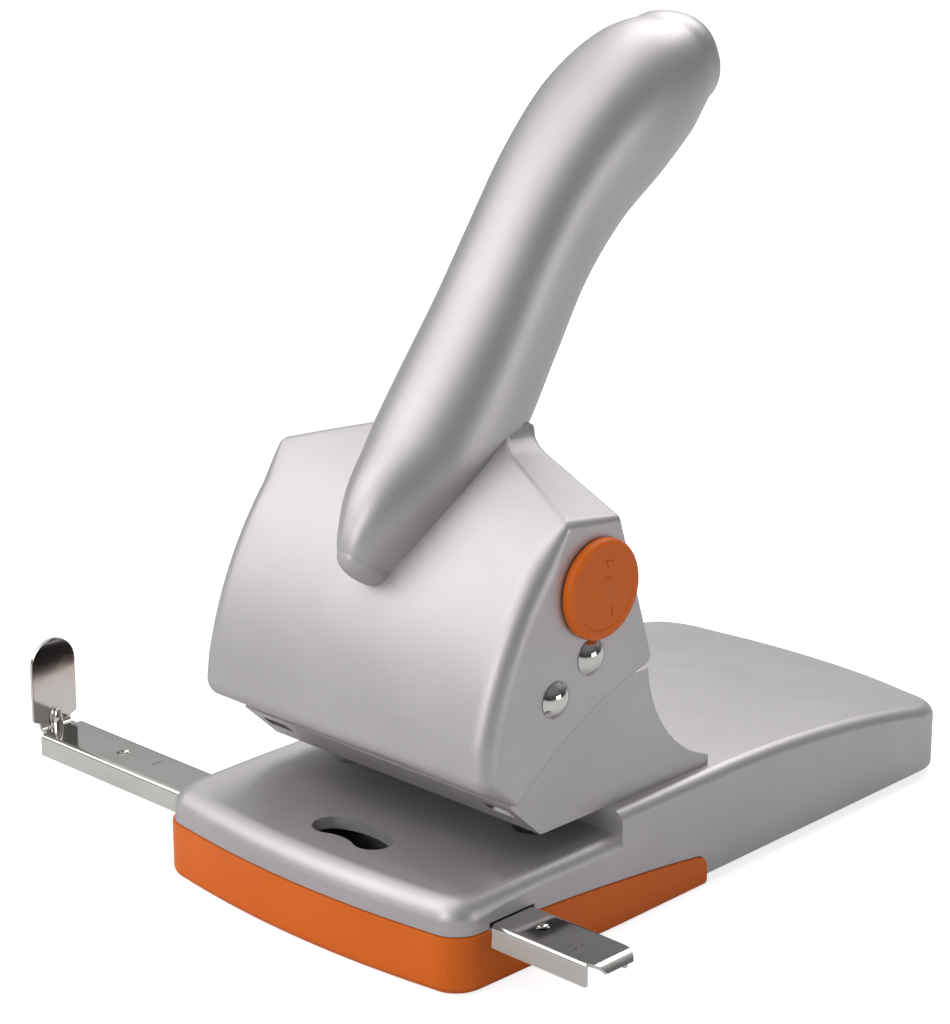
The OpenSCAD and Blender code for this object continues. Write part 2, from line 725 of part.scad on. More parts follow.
module lock_pawl() color("darkgray") {
    translate([0, pivot_y + knob_y, pivot_z + knob_z]) difference() {
        union() {
            bar(plate_x + 0.1, frame_w/2 - 0.1, hub_r);
            rotate([atan2(knob_z, knob_y) - 90, 0, 0]) translate([plate_x + 0.1, 0, -nose_half])
                cube([frame_t - 0.2, nose_len, 2*nose_half]);
        }
        bar(plate_x - 1, frame_w/2 + 1, 3 + press_clear);
    }
}

module lock_clip() color("gray") {
    translate([plate_x - 1.1, pivot_y + knob_y, pivot_z + knob_z]) difference() {
        bar(0, 1, 5);
        bar(-1, 2, 3 + press_clear);
        translate([-1, -1.4, -6]) cube([3, 2.8, 6]);
    }
}

// ---- Paper guide and tray ----

module paper_guide() color("gainsboro") {
    r = guide_w/2;
    difference() {
        union() {
            translate([-stop_x, guide_y0, guide_top - guide_t])
                cube([stop_x + guide_reach, guide_w, guide_t]);
            for (y = [guide_y0, guide_y1 - guide_t]) translate([-stop_x, y, guide_bottom])
                cube([stop_x + guide_reach - 3, guide_t, guide_h]);
            // Upturned stop with a round top
            translate([-stop_x - guide_t, guide_y0 + r, guide_top - guide_t]) {
                translate([0, -r, 0]) cube([guide_t, guide_w, stop_h - r + guide_t]);
                translate([0, 0, stop_h - r + guide_t]) bar(0, guide_t, r);
            }
            // Tip bent down at the other end
            translate([guide_reach, guide_y0 + 1.5, 0]) rotate([90, 0, 0]) mirror([0, 0, 1])
                linear_extrude(guide_w - 3) polygon([[-0.1, guide_top], [3.2, guide_top - 1.6],
                [3.2, guide_top - 1.6 - guide_t], [-0.1, guide_top - guide_t]]);
        }
        // Detent holes
        for (x = [-stop_x + 35.5, detent_hole_x])
            boss(x, guide_y0 + r, 1.8, guide_top - 5, guide_top + 1);
        // Relief notches at the foot of the stop
        for (y = [guide_y0, guide_y1]) translate([-stop_x - 2, y - 2, guide_top - 1])
            cube([4, 4, 3]);
    }
}

module tray_outline() {
    edge = seam_edge(-seam_gap);
    polygon(concat(edge, [[tray_rear - seam_gap, 0], [-base_front - 2, 0]]));
}

module chip_tray() color("darkorange") {
    end = tray_rear - seam_gap;
    difference() {
        union() {
            difference() {
                intersection() {
                    linear_extrude(seam_front + 1) polygon(base_plan(-tray_proud));
                    across(-base_w, base_w) tray_outline();
                }
                translate([0, 0, tray_floor]) linear_extrude(seam_front) intersection() {
                    polygon(base_plan(tray_wall - tray_proud));
                    translate([-base_w/2, -base_front]) square([base_w, base_front + end - tray_wall]);
                }
            }
            // Snap tabs inside the base walls
            intersection() {
                linear_extrude(guide_top + 1) polygon(base_plan(base_wall + seam_gap));
                for (s = [-1, 1]) translate([s*(base_w/2 - base_wall - 2) - 2, 18, 1])
                    cube([4, 12, guide_top]);
            }
        }
        // Openings for the guide strip
        translate([-base_w, guide_y0 - slide_clear, guide_bottom - slide_clear])
            cube([2*base_w, guide_w + 2*slide_clear, seam_front]);
    }
}

base_platform();
base_deck();
bottom_cover();
cover_screws();
rubber_feet();
die_bush_left();
die_bush_right();
guide_strap();
strap_screws();
detent_spring();
detent_screw();
side_frame();
frame_screws();
punch_guide_left();
punch_guide_right();
return_spring_left();
return_spring_right();
punch_left();
punch_right();
lever();
pivot_shaft();
crank_shaft();
shaft_screws();
pivot_washers();
lock_knob();
lock_spindle();
lock_pawl();
lock_clip();
paper_guide();
chip_tray();
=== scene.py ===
"""Looks of a heavy two-hole office punch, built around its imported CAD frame. Lengths in metres."""

import json
import math

import bmesh
import bpy
from mathutils import Matrix, Vector


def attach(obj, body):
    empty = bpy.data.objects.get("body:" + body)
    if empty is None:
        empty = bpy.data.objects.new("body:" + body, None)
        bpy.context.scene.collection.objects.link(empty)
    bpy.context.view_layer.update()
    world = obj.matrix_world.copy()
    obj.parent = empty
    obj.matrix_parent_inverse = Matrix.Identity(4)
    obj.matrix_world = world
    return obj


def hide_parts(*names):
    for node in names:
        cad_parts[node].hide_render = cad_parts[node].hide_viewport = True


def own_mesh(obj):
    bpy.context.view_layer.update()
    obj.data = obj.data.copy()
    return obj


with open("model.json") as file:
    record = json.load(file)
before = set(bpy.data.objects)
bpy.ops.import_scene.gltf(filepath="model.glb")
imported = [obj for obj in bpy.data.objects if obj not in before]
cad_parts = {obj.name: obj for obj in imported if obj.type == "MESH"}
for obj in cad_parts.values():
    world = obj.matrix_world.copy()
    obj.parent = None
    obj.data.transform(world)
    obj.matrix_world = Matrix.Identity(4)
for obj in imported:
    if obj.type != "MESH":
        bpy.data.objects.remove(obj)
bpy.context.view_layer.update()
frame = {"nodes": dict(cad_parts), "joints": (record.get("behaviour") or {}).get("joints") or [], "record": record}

MM = 0.001
JOINTS = {joint["name"]: joint for joint in frame["joints"]}
NODE_SLOT = {part["node"]: part["material_slot"] for part in frame["record"]["subparts"]}
NODE_BODY = {node: body for body, nodes in frame["record"]["behaviour"]["bodies"].items() for node in nodes}
PIVOT = Vector(JOINTS["lever_hinge"]["pos_m"])
KNOB = Vector(JOINTS["lock_turn"]["pos_m"])


# ---- Materials ----

def linear(hex_colour):
    """An sRGB hex colour as linear RGBA."""
    channels = [int(hex_colour[i:i + 2], 16) / 255 for i in (1, 3, 5)]
    return [c / 12.92 if c <= 0.04045 else ((c + 0.055) / 1.055) ** 2.4 for c in channels] + [1.0]


def add(tree, kind, inputs=None, props=None, **values):
    """Adds a node and links or sets its inputs. A node given as an input stands for its first output."""
    node = tree.nodes.new(kind)
    for key, value in (props or {}).items():
        setattr(node, key, value)
    named = {key.replace("_", " "): value for key, value in values.items()}
    for key, value in {**(inputs or {}), **named}.items():
        if isinstance(value, bpy.types.Node):
            value = value.outputs[0]
        if isinstance(value, bpy.types.NodeSocket):
            tree.links.new(value, node.inputs[key])
        else:
            node.inputs[key].default_value = value
    return node


def material(name, **shader):
    """A material with a Principled shader; returns it with its tree, shader and Object coordinates."""
    mat = bpy.data.materials.new(name)
    mat.use_nodes = True
    tree = mat.node_tree
    tree.nodes.clear()
    bsdf = add(tree, "ShaderNodeBsdfPrincipled", **shader)
    add(tree, "ShaderNodeOutputMaterial", Surface=bsdf)
    place = add(tree, "ShaderNodeTexCoord").outputs["Object"]
    return mat, tree, bsdf, place


def dress(tree, bsdf, tones, tone_by, gloss, gloss_by, relief_mm, relief_by, strength):
    """Gives a shader two hex tones, a roughness range and a relief in mm, each by its own pattern."""
    colour = add(tree, "ShaderNodeMix", {"Factor": tone_by, "A": linear(tones[0]), "B": linear(tones[1])},
                 {"data_type": "RGBA"})
    rough = add(tree, "ShaderNodeMapRange", Value=gloss_by, From_Min=0.3, From_Max=0.7,
                To_Min=gloss[0], To_Max=gloss[1])
    relief = add(tree, "ShaderNodeBump", Height=relief_by, Strength=strength, Distance=relief_mm * MM)
    tree.links.new(colour.outputs["Result"], bsdf.inputs["Base Color"])
    tree.links.new(rough.outputs["Result"], bsdf.inputs["Roughness"])
    tree.links.new(relief.outputs["Normal"], bsdf.inputs["Normal"])


def silver_lacquer(name, flake_mm):
    """Sprayed aluminium-flake lacquer: broad soft highlights, darker where it turns away from the
    light, and a fine grain. The flakes are drawn coarser than the real 0.05 mm so that they show."""
    mat, tree, bsdf, place = material(name, Metallic=0.78, Roughness=0.43, IOR=1.5,
                                      Coat_Weight=0.1, Coat_Roughness=0.25)
    flakes = add(tree, "ShaderNodeTexNoise", Vector=place, Scale=1 / (flake_mm * MM), Detail=2.0,
                 Roughness=0.7)
    peel = add(tree, "ShaderNodeTexNoise", Vector=place, Scale=0.55 / MM, Detail=2.0, Roughness=0.55)
    cloud = add(tree, "ShaderNodeTexNoise", Vector=place, Scale=0.03 / MM, Detail=2.0, Roughness=0.55)
    grain = add(tree, "ShaderNodeMath", {0: flakes, 1: cloud, 2: 0.22}, {"operation": "MULTIPLY_ADD"})
    relief = add(tree, "ShaderNodeMath", {0: flakes, 1: peel}, {"operation": "ADD"})
    dress(tree, bsdf, ("#a8a4a7", "#c6c3c6"), grain, (0.4, 0.54), flakes, 0.025, relief, 0.7)
    return mat


def orange_abs():
    """Injection-moulded ABS in orange: satin, with a fine spark-eroded grain from the mould."""
    mat, tree, bsdf, place = material("orange_moulded_abs", Roughness=0.5, IOR=1.54,
                                      Specular_IOR_Level=0.3)
    grain = add(tree, "ShaderNodeTexNoise", Vector=place, Scale=2.2 / MM, Detail=2.0, Roughness=0.6)
    cloud = add(tree, "ShaderNodeTexNoise", Vector=place, Scale=0.05 / MM, Detail=2.0, Roughness=0.55)
    dress(tree, bsdf, ("#cb5c00", "#d66402"), cloud, (0.42, 0.52), grain, 0.015, grain, 0.5)
    return mat


def nickel_plate():
    """Bright nickel on rolled steel strip: a clear, contrasty reflection with faint rolling lines
    along X and a slightly uneven surface."""
    mat, tree, bsdf, place = material("bright_nickel_plate", Metallic=1.0, Roughness=0.1)
    along = add(tree, "ShaderNodeMapping", Vector=place, Scale=(0.03, 1.0, 1.0))
    lines = add(tree, "ShaderNodeTexNoise", Vector=along, Scale=1.6 / MM, Detail=3.0, Roughness=0.6)
    handling = add(tree, "ShaderNodeTexNoise", Vector=place, Scale=0.05 / MM, Detail=3.0, Roughness=0.55)
    dress(tree, bsdf, ("#c6c4c0", "#dcdad7"), handling, (0.05, 0.14), lines, 0.25, handling, 0.35)
    return mat


def steel(name, tones, gloss, per_mm=1.2):
    """Bare or plated machine steel with fine tooling marks; gloss bounds its roughness."""
    mat, tree, bsdf, place = material(name, Metallic=1.0, Roughness=gloss[0])
    marks = add(tree, "ShaderNodeTexNoise", Vector=place, Scale=per_mm / MM, Detail=3.0, Roughness=0.65)
    stain = add(tree, "ShaderNodeTexNoise", Vector=place, Scale=0.12 / MM, Detail=3.0, Roughness=0.55)
    dress(tree, bsdf, tones, stain, gloss, marks, 0.01, marks, 0.5)
    return mat


def polymer(name, tones, gloss, ior, per_mm):
    """A moulded or cut polymer with a fine grain; gloss bounds its roughness."""
    mat, tree, bsdf, place = material(name, Roughness=gloss[0], IOR=ior)
    grain = add(tree, "ShaderNodeTexNoise", Vector=place, Scale=per_mm / MM, Detail=3.0, Roughness=0.55)
    dress(tree, bsdf, tones, grain, gloss, grain, 0.03, grain, 0.5)
    return mat


CAST_SILVER = silver_lacquer("silver_lacquer_on_casting", 0.5)
SHEET_SILVER = silver_lacquer("silver_lacquer_on_sheet", 0.42)
ORANGE = orange_abs()
NICKEL = nickel_plate()
# Zinc-plated screws and pressings, passivated clear: pale with a slight grey bloom
ZINC = steel("clear_zinc_plate", ("#a9abb0", "#c2c4c8"), (0.28, 0.42))
# Hard-drawn spring wire, oiled: darker grey with a soft sheen
WIRE = steel("drawn_spring_wire", ("#77787c", "#96979b"), (0.25, 0.38))
# Hardened and ground tool steel: neutral grey, fine grinding marks
TOOL = steel("ground_tool_steel", ("#808185", "#9c9da0"), (0.22, 0.36), 2.0)
# Moulded black polypropylene with a matt grain
BLACK = polymer("black_polypropylene", ("#17171a", "#1f1f22"), (0.48, 0.6), 1.49, 1.4)
# Soft black rubber, matt and slightly dusty
RUBBER = polymer("black_rubber", ("#141414", "#1f1e1d"), (0.72, 0.86), 1.52, 0.9)
# Natural nylon: off-white and slightly waxy
NYLON = polymer("natural_nylon", ("#d9d4c2", "#e4dfcf"), (0.38, 0.48), 1.53, 1.1)

FINISH = {"silver_casting": CAST_SILVER, "silver_sheet": SHEET_SILVER, "orange_plastic": ORANGE,
          "nickel_steel": NICKEL, "zinc_steel": ZINC, "spring_steel": WIRE, "tool_steel": TOOL,
          "black_plastic": BLACK, "black_rubber": RUBBER, "nylon": NYLON}


# ---- Mesh tools ----

def link(name, mesh):
    """Puts a mesh in the scene as an object at the origin."""
    piece = bpy.data.objects.new(name, mesh)
    bpy.context.scene.collection.objects.link(piece)
    return piece


def new_piece(name, points, faces, mat):
    """An object at the origin from points in metres and faces, its normals pointing outwards."""
    mesh = bpy.data.meshes.new(name)
    mesh.from_pydata([tuple(p) for p in points], [], faces)
    bm = bmesh.new()
    bm.from_mesh(mesh)
    bmesh.ops.recalc_face_normals(bm, faces=bm.faces)
    bm.to_mesh(mesh)
    bm.free()
    mesh.materials.append(mat)
    return link(name, mesh)


def bake(piece):
    """Replaces a piece's mesh with the result of its modifiers."""
    graph = bpy.context.evaluated_depsgraph_get()
    mesh = bpy.data.meshes.new_from_object(piece.evaluated_get(graph))
    piece.modifiers.clear()
    piece.data = mesh


def smooth(piece, angle=35.0):
    """Smooth shading with creases over angle degrees, flat faces kept flat by area weighting."""
    piece.data.shade_smooth()
    piece.data.set_sharp_from_angle(angle=math.radians(angle))
    weighted = piece.modifiers.new("weighted_normal", "WEIGHTED_NORMAL")
    weighted.keep_sharp = True


def cut(piece, tool, operation="DIFFERENCE"):
    """An exact boolean of a piece with a tool, which is then removed."""
    step = piece.modifiers.new("cut", "BOOLEAN")
    step.operation = operation
    step.object = tool
    step.solver = "EXACT"
    bake(piece)
    bpy.data.objects.remove(tool)


def ease_edges(piece, width, segments=2, angle=40.0):
    """Rounds the edges sharper than angle degrees by width mm."""
    rounding = piece.modifiers.new("edges", "BEVEL")
    rounding.width = width * MM
    rounding.segments = segments
    rounding.limit_method = "ANGLE"
    rounding.angle_limit = math.radians(angle)
    rounding.use_clamp_overlap = True


def seat(piece, *nodes):
    """Puts a finished piece in the place of CAD nodes, on their body, and hides the nodes."""
    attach(piece, NODE_BODY[nodes[0]])
    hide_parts(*nodes)


def copy_of(name, *nodes):
    """CAD nodes again as one merged mesh, free of the facets' flat splits."""
    bm = bmesh.new()
    for node in nodes:
        bm.from_mesh(frame["nodes"][node].data)
    bmesh.ops.remove_doubles(bm, verts=bm.verts, dist=0.004 * MM)
    bmesh.ops.dissolve_limit(bm, angle_limit=math.radians(0.4), verts=bm.verts, edges=bm.edges)
    mesh = bpy.data.meshes.new(name)
    bm.to_mesh(mesh)
    bm.free()
    mesh.materials.clear()
    mesh.materials.append(FINISH[NODE_SLOT[nodes[0]]])
    return link(name, mesh)


def edged(node, width, segments=2, angle=35.0):
    """The CAD node again with its edges rounded by width mm."""
    piece = copy_of(node + "_edged", node)
    ease_edges(piece, width, segments, angle)
    smooth(piece, 40.0)
    seat(piece, node)
    return piece


def loft(rings):
    """Points and faces of closed rings joined in order, with both ends closed."""
    count = len(rings[0])
    points = [p for ring in rings for p in ring]
    faces = [tuple(reversed(range(count)))]
    for i in range(len(rings) - 1):
        for j in range(count):
            k = (j + 1) % count
            faces.append((i * count + j, i * count + k, (i + 1) * count + k, (i + 1) * count + j))
    faces.append(tuple(range((len(rings) - 1) * count, len(rings) * count)))
    return points, faces


def turned(name, profile, place, axis, mat, count=64, ring=False):
    """A turned piece: profile gives (along, radius) in mm from place along axis; ring closes it."""
    axis = Vector(axis)
    side = axis.orthogonal().normalized()
    other = axis.cross(side)
    points, rows, faces = [], [], []
    for along, radius in profile:
        centre = Vector(place) + axis * along
        if radius < 1e-6:
            rows.append([len(points)] * count)
            points.append(centre * MM)
            continue
        rows.append(list(range(len(points), len(points) + count)))
        for i in range(count):
            a = 2 * math.pi * i / count
            points.append((centre + (side * math.cos(a) + other * math.sin(a)) * radius) * MM)
    if ring:
        rows.append(rows[0])
    for low, high in zip(rows, rows[1:]):
        for i in range(count):
            k = (i + 1) % count
            corners = dict.fromkeys((low[i], low[k], high[k], high[i]))
            if len(corners) > 2:
                faces.append(tuple(corners))
    return new_piece(name, points, faces, mat)


def eased(profile, radius, closed=False, steps=3):
    """A profile with every corner rounded by up to radius mm."""
    points = [Vector(p) for p in profile]
    count = len(points)
    result = []
    for i, corner in enumerate(points):
        if not closed and i in (0, count - 1):
            result.append(corner)
            continue
        before, after = points[i - 1], points[(i + 1) % count]
        reach = min(radius, 0.45 * (before - corner).length, 0.45 * (after - corner).length)
        start = corner + (before - corner).normalized() * reach
        end = corner + (after - corner).normalized() * reach
        for k in range(steps + 1):
            t = k / steps
            result.append(start * (1 - t) ** 2 + corner * 2 * t * (1 - t) + end * t ** 2)
    return result


# ---- Lever: head casting with its handle ----
# The outlines are in millimetres about the pivot: y to the rear, z up.

HEAD_HALF = 62.3
HEAD_WALL = 3.0
MIDDLE = 20.0
FRONT_LOW = Vector((-30.7, -12.9))
FRONT_TOP = (Vector((8.9, 49.1)), Vector((20.0, 65.6)))
REAR_TOP = (Vector((28.1, 50.1)), Vector((33.0, 65.0)))
REAR_LOW = Vector((44.2, 0.6))
LIP_END = Vector((-15.6, -29.6))
LIP_CORNER = Vector((-30.6, -21.4))
FILLET_START, FILLET_REACH, FILLET_RISE = 29.0, 8.5, 0.3
SHAFT_R = 4.0
CRANK_R, CRANK_ANGLE = 17.9, math.radians(31.7)
CRANK = (CRANK_R * math.cos(CRANK_ANGLE), CRANK_R * math.sin(CRANK_ANGLE))


def bow(p, q, height, count):
    """Points on an arc from p to q that stands height proud to the left of the way."""
    span = (q - p).length
    radius = (span * span / 4 + height * height) / (2 * height)
    along = (q - p) / span
    out = Vector((-along.y, along.x))
    half = math.asin(span / 2 / radius)
    middle = (p + q) / 2
    return [middle + along * radius * math.sin(a) + out * (radius * math.cos(a) - radius + height)
            for a in (half * (2 * i / count - 1) for i in range(count + 1))]


def fillet(before, corner, after, radius, count=4):
    """A corner turned into count + 1 points along an arc of the given radius."""
    u = (before - corner).normalized()
    v = (after - corner).normalized()
    half = math.acos(max(-1.0, min(1.0, u.dot(v)))) / 2
    reach = radius / math.tan(half)
    centre = corner + (u + v).normalized() * radius / math.sin(half)
    start, end = corner + u * reach - centre, corner + v * reach - centre
    sweep = start.angle_signed(end)
    return [centre + Matrix.Rotation(-sweep * i / count, 2) @ start for i in range(count + 1)]


def circle_through(a, b, c):
    """Centre and radius of the circle through three points."""
    d = 2 * (a.x * (b.y - c.y) + b.x * (c.y - a.y) + c.x * (a.y - b.y))
    aa, bb, cc = a.length_squared, b.length_squared, c.length_squared
    centre = Vector(((aa * (b.y - c.y) + bb * (c.y - a.y) + cc * (a.y - b.y)) / d,
                     (aa * (c.x - b.x) + bb * (a.x - c.x) + cc * (b.x - a.x)) / d))
    return centre, (a - centre).length


def angle_about(centre, p):
    """Angle of a point about a centre, from 0 to a full turn."""
    return math.atan2(p.y - centre.y, p.x - centre.x) % (2 * math.pi)


# The front face is one arc at every width; its three angles are its foot and its top at side and middle
FACE_BOW = 9.2
FACE_CENTRE, FACE_RADIUS = circle_through(FRONT_LOW, bow(FRONT_LOW, FRONT_TOP[1], FACE_BOW, 24)[12],
                                          FRONT_TOP[1])
FACE_ANGLES = [angle_about(FACE_CENTRE, p) for p in (FRONT_LOW, FRONT_TOP[0], FRONT_TOP[1])]


def head_loop(x):
    """Closed outline of the head at x mm from the middle, with each point's side edge radius."""
    rise = min(max((HEAD_HALF - abs(x)) / (HEAD_HALF - MIDDLE), 0.0), 1.0)
    hug = min(max((FILLET_START - abs(x)) / FILLET_REACH, 0.0), 1.0)
    rise += FILLET_RISE * (1 - math.sqrt(1 - hug * hug))
    rear_top = REAR_TOP[0].lerp(REAR_TOP[1], rise)
    top = FACE_ANGLES[1] + (FACE_ANGLES[2] - FACE_ANGLES[1]) * rise
    face = [FACE_CENTRE + FACE_RADIUS * Vector((math.cos(a), math.sin(a)))
            for a in (FACE_ANGLES[0] + (top - FACE_ANGLES[0]) * i / 24 for i in range(25))]
    front_top = face[-1]
    under = bow(REAR_LOW, LIP_END, -4.6, 16)
    loop = [(p, 6.5) for p in face[1:-1]]
    for before, corner, after, radius, steps in (
            (face[-2], front_top, rear_top, 3.0, 5), (front_top, rear_top, REAR_LOW, 2.2, 4),
            (rear_top, REAR_LOW, under[1], 2.6, 4)):
        loop += [(p, radius - 0.5) for p in fillet(before, corner, after, radius, steps)]
    loop += [(p, 1.2) for p in under[1:-1]]
    for before, corner, after, radius, steps in ((under[-2], LIP_END, LIP_CORNER, 1.7, 4),
                                                 (LIP_END, LIP_CORNER, face[1], 6.0, 6)):
        loop += [(p, radius - 0.5) for p in fillet(before, corner, after, radius, steps)]
    return loop


def side_radii(loop):
    """The side edge radius of each point, kept from changing faster than the outline can follow."""
    count = len(loop)
    result = []
    for i, (p, own) in enumerate(loop):
        reach = own
        for step in (1, -1):
            way, here = 0.0, p
            for k in range(1, 14):
                there, radius = loop[(i + step * k) % count]
                way += (there - here).length
                here = there
                reach = min(reach, radius + 0.3 * way)
        result.append(reach)
    return result


def head_solid():
    """The head as a closed solid, lofted from side to side with rounded side edges."""
    side_loop = head_loop(HEAD_HALF)
    radii = side_radii(side_loop)
    outline = [p for p, _ in side_loop]
    count = len(outline)
    sides = []
    for side in (-1, 1):
        edge = []
        for k in range(8):
            angle = math.pi / 2 * k / 7
            ring = []
            for i, radius in enumerate(radii):
                tangent = (outline[(i + 1) % count] - outline[i - 1]).normalized()
                x = side * (HEAD_HALF - radius * (1 - math.sin(angle)))
                inwards = Vector((tangent.y, -tangent.x)) * radius * (1 - math.cos(angle))
                place = head_loop(x)[i][0] + inwards
                ring.append(Vector((x, place.x, place.y)))
            edge.append(ring)
        sides.append(edge)
    steps = [HEAD_HALF - 8 - 3 * i for i in range(9)] + [28.5 - i for i in range(10)] + [14.0, 7.0]
    spans = sorted([-x for x in steps] + steps)
    middle = [[Vector((x, p.x, p.y)) for p, _ in head_loop(x)] for x in spans]
    return loft(sides[0][::-1] + middle + sides[1])


# Handle stations: centre in y and z, half width, half depth, narrowing towards the front
HANDLE = [(-15.8, 31, 7.4, 12.3, 0.1), (-12.2, 36.8, 10.8, 15, 0.14), (-4.3, 46.4, 15.4, 17.7, 0.16),
          (9, 58.0, 20.2, 19.4, 0.14), (24, 75.5, 20.9, 19.7, 0.08), (38.5, 95, 20.0, 19.0, 0.03),
          (53, 116, 19.6, 18.7, 0.01), (69, 134.8, 20.8, 20.0, 0), (87, 149.8, 22.2, 21.6, 0),
          (104.5, 160.8, 20.8, 20.2, 0), (117.8, 166.8, 17, 16, 0)]
HANDLE_SQUARE = 2.35
HANDLE_TIP = 14.0
NOSE_ROUND = 6.0


def station(t):
    """Catmull-Rom blend of the handle stations at t, counted in stations."""
    last = len(HANDLE) - 1
    i = min(int(t), last - 1)
    f = t - i
    four = (HANDLE[max(min(k, last), 0)] for k in (i - 1, i, i + 1, i + 2))
    return [0.5 * (2 * b + f * (c - a) + f * f * (2 * a - 5 * b + 4 * c - d)
                   + f ** 3 * (3 * b - a - 3 * c + d)) for a, b, c, d in zip(*four)]


def power(value, exponent):
    """A power that keeps the sign."""
    return math.copysign(abs(value) ** exponent, value)


def handle_ring(t, go=0.0, scale=1.0, count=60):
    """A ring of the handle at station t, moved go mm along the handle and scaled."""
    last = len(HANDLE) - 1
    y, z, half_width, half_depth, narrow = station(t)
    ahead, behind = station(min(t + 0.1, last)), station(max(t - 0.1, 0))
    way = Vector((ahead[0] - behind[0], ahead[1] - behind[1])).normalized()
    ring = []
    for j in range(count):
        a = 2 * math.pi * j / count
        v = power(math.sin(a), 2 / HANDLE_SQUARE)
        x = scale * half_width * power(math.cos(a), 2 / HANDLE_SQUARE) * (1 - narrow * v)
        depth = scale * half_depth * v
        ring.append(Vector((x, y + go * way.x - depth * way.y, z + go * way.y + depth * way.x)))
    return ring


def handle_solid():
    """The handle as a closed solid: blended stations with a rounded nose and tip."""
    last = len(HANDLE) - 1
    turns = [math.radians(88 * i / 10) for i in range(1, 11)]
    rings = [handle_ring(0, -NOSE_ROUND * math.sin(a), math.cos(a)) for a in reversed(turns)]
    rings += [handle_ring(i / 7) for i in range(last * 7 + 1)]
    rings += [handle_ring(last, HANDLE_TIP * math.sin(a), math.cos(a)) for a in turns]
    return loft(rings)


def about_pivot(points):
    """Millimetres about the pivot to metres in the frame."""
    return [Vector((0, PIVOT.y, PIVOT.z)) + Vector(p) * MM for p in points]


def prism(name, outline, x0, x1):
    """A y-z outline about the pivot made solid between x0 and x1 mm, as a boolean tool."""
    rings = [[Vector((x, p[0], p[1])) for p in outline] for x in (x0, x1)]
    points, faces = loft(rings)
    return new_piece(name, about_pivot(points), faces, CAST_SILVER)


def pin(name, y, z, radius, x0, x1, count=48):
    """A round pin along X as a boolean tool, its centre at y and z mm about the pivot."""
    place = (x0, PIVOT.y / MM + y, PIVOT.z / MM + z)
    return turned(name, [(0, 0), (0, radius), (x1 - x0, radius), (x1 - x0, 0)], place, (1, 0, 0),
                  CAST_SILVER, count)


def build_lever():
    """Head and handle in one casting, hollow below, with its bores."""
    points, faces = head_solid()
    lever = new_piece("lever_casting", about_pivot(points), faces, CAST_SILVER)
    points, faces = handle_solid()
    cut(lever, new_piece("handle_tool", about_pivot(points), faces, CAST_SILVER), "UNION")
    inner = HEAD_HALF - HEAD_WALL
    sweep = 0.92 * (FACE_ANGLES[1] - FACE_ANGLES[0])
    face = [FACE_CENTRE + (FACE_RADIUS - HEAD_WALL) * Vector((math.cos(a), math.sin(a)))
            for a in (FACE_ANGLES[0] + sweep * i / 16 for i in range(17))]
    hollow = [(-27.6, -19.2)] + [tuple(p) for p in face] + [(25, 45.5), (30, 36), (60, 36), (60, -44),
                                                            (-14.2, -44), (-14.2, -24.0)]
    cut(lever, prism("hollow_tool", hollow, -inner, inner))
    # Cut-outs near both ends of the front lip
    for side in (-1, 1):
        way = Matrix.Rotation(math.radians(36), 3, "X") @ Vector((0, 0, 1))
        place = Vector((side * 48.5, PIVOT.y / MM - 20, PIVOT.z / MM - 24)) - way * 6
        cut(lever, turned("lip_tool", [(0, 0), (0, 5.5), (12, 5.5), (12, 0)], place, way, CAST_SILVER, 40))
    for name, y, z in (("pivot", 0, 0), ("crank", CRANK[0], CRANK[1])):
        cut(lever, pin(name + "_bore", y, z, SHAFT_R + 0.01, -HEAD_HALF - 2, HEAD_HALF + 2))
    knob = (KNOB - PIVOT) / MM
    cut(lever, pin("knob_bore", knob.y, knob.z, SHAFT_R + 0.05, HEAD_HALF - 6, HEAD_HALF + 2))
    smooth(lever, 32.0)
    seat(lever, "lever")


build_lever()

# ---- Base casting and chip tray: the CAD shape inside an envelope that rounds its edges ----
# Millimetres in the frame: the same plan as the CAD's, with margin at the paper stop.

BASE_HALF, REAR_HALF = 65.5, 62.7
BASE_FRONT, BASE_REAR, STOP_Y = -64.2, 194.0, 12.0
FRONT_BOW, REAR_BOW, FRONT_R, REAR_R = 4.2, 8.0, 10.0, 18.0
HUMP_R = 540.0
PLATFORM, DECK = 29.4, 37.4


def deck_height(y):
    """Height of the top of the base behind the paper stop."""
    return DECK - max(y - 60.0, 0.0) ** 2 / (2 * HUMP_R)


def front_half(inset, y_end):
    """Right half of the base's plan from the middle of its front to y_end, moved inwards."""
    w, r, y = BASE_HALF - inset, FRONT_R - inset, BASE_FRONT + inset + FRONT_BOW
    front = bow(Vector((w - r, y)), Vector((r - w, y)), FRONT_BOW, 32)[::-1]
    corner = [Vector((w - r, y + r)) + Vector((math.cos(a), math.sin(a))) * r
              for a in (math.radians(-80 + 8 * i) for i in range(11))]
    side = [Vector((w, y)) for y in (-40, -20, 0, STOP_Y)]
    if y_end > STOP_Y:
        taper = (BASE_HALF - REAR_HALF) / (BASE_REAR - REAR_BOW - REAR_R - STOP_Y)
        side.append(Vector((w - taper * (y_end - STOP_Y), y_end)))
    return [p for p in front if p.x > 1e-6] + corner + side


def rear_half(inset):
    """Right half of the base's plan from the paper stop to the middle of its rear."""
    w, r = REAR_HALF - inset, REAR_R - inset
    y = BASE_REAR - inset - REAR_BOW
    corner = [Vector((w - r, y - r)) + Vector((math.cos(a), math.sin(a))) * r
              for a in (math.radians(2 + 8 * i) for i in range(11))]
    start = Vector((BASE_HALF - inset, STOP_Y - 0.02))
    side = [start.lerp(corner[0], i / 18) for i in range(18)]
    rear = bow(Vector((r - w, y)), Vector((w - r, y)), REAR_BOW, 24)[::-1]
    return side + corner + [p for p in rear if 1e-6 < p.x < w - r - 1e-6]


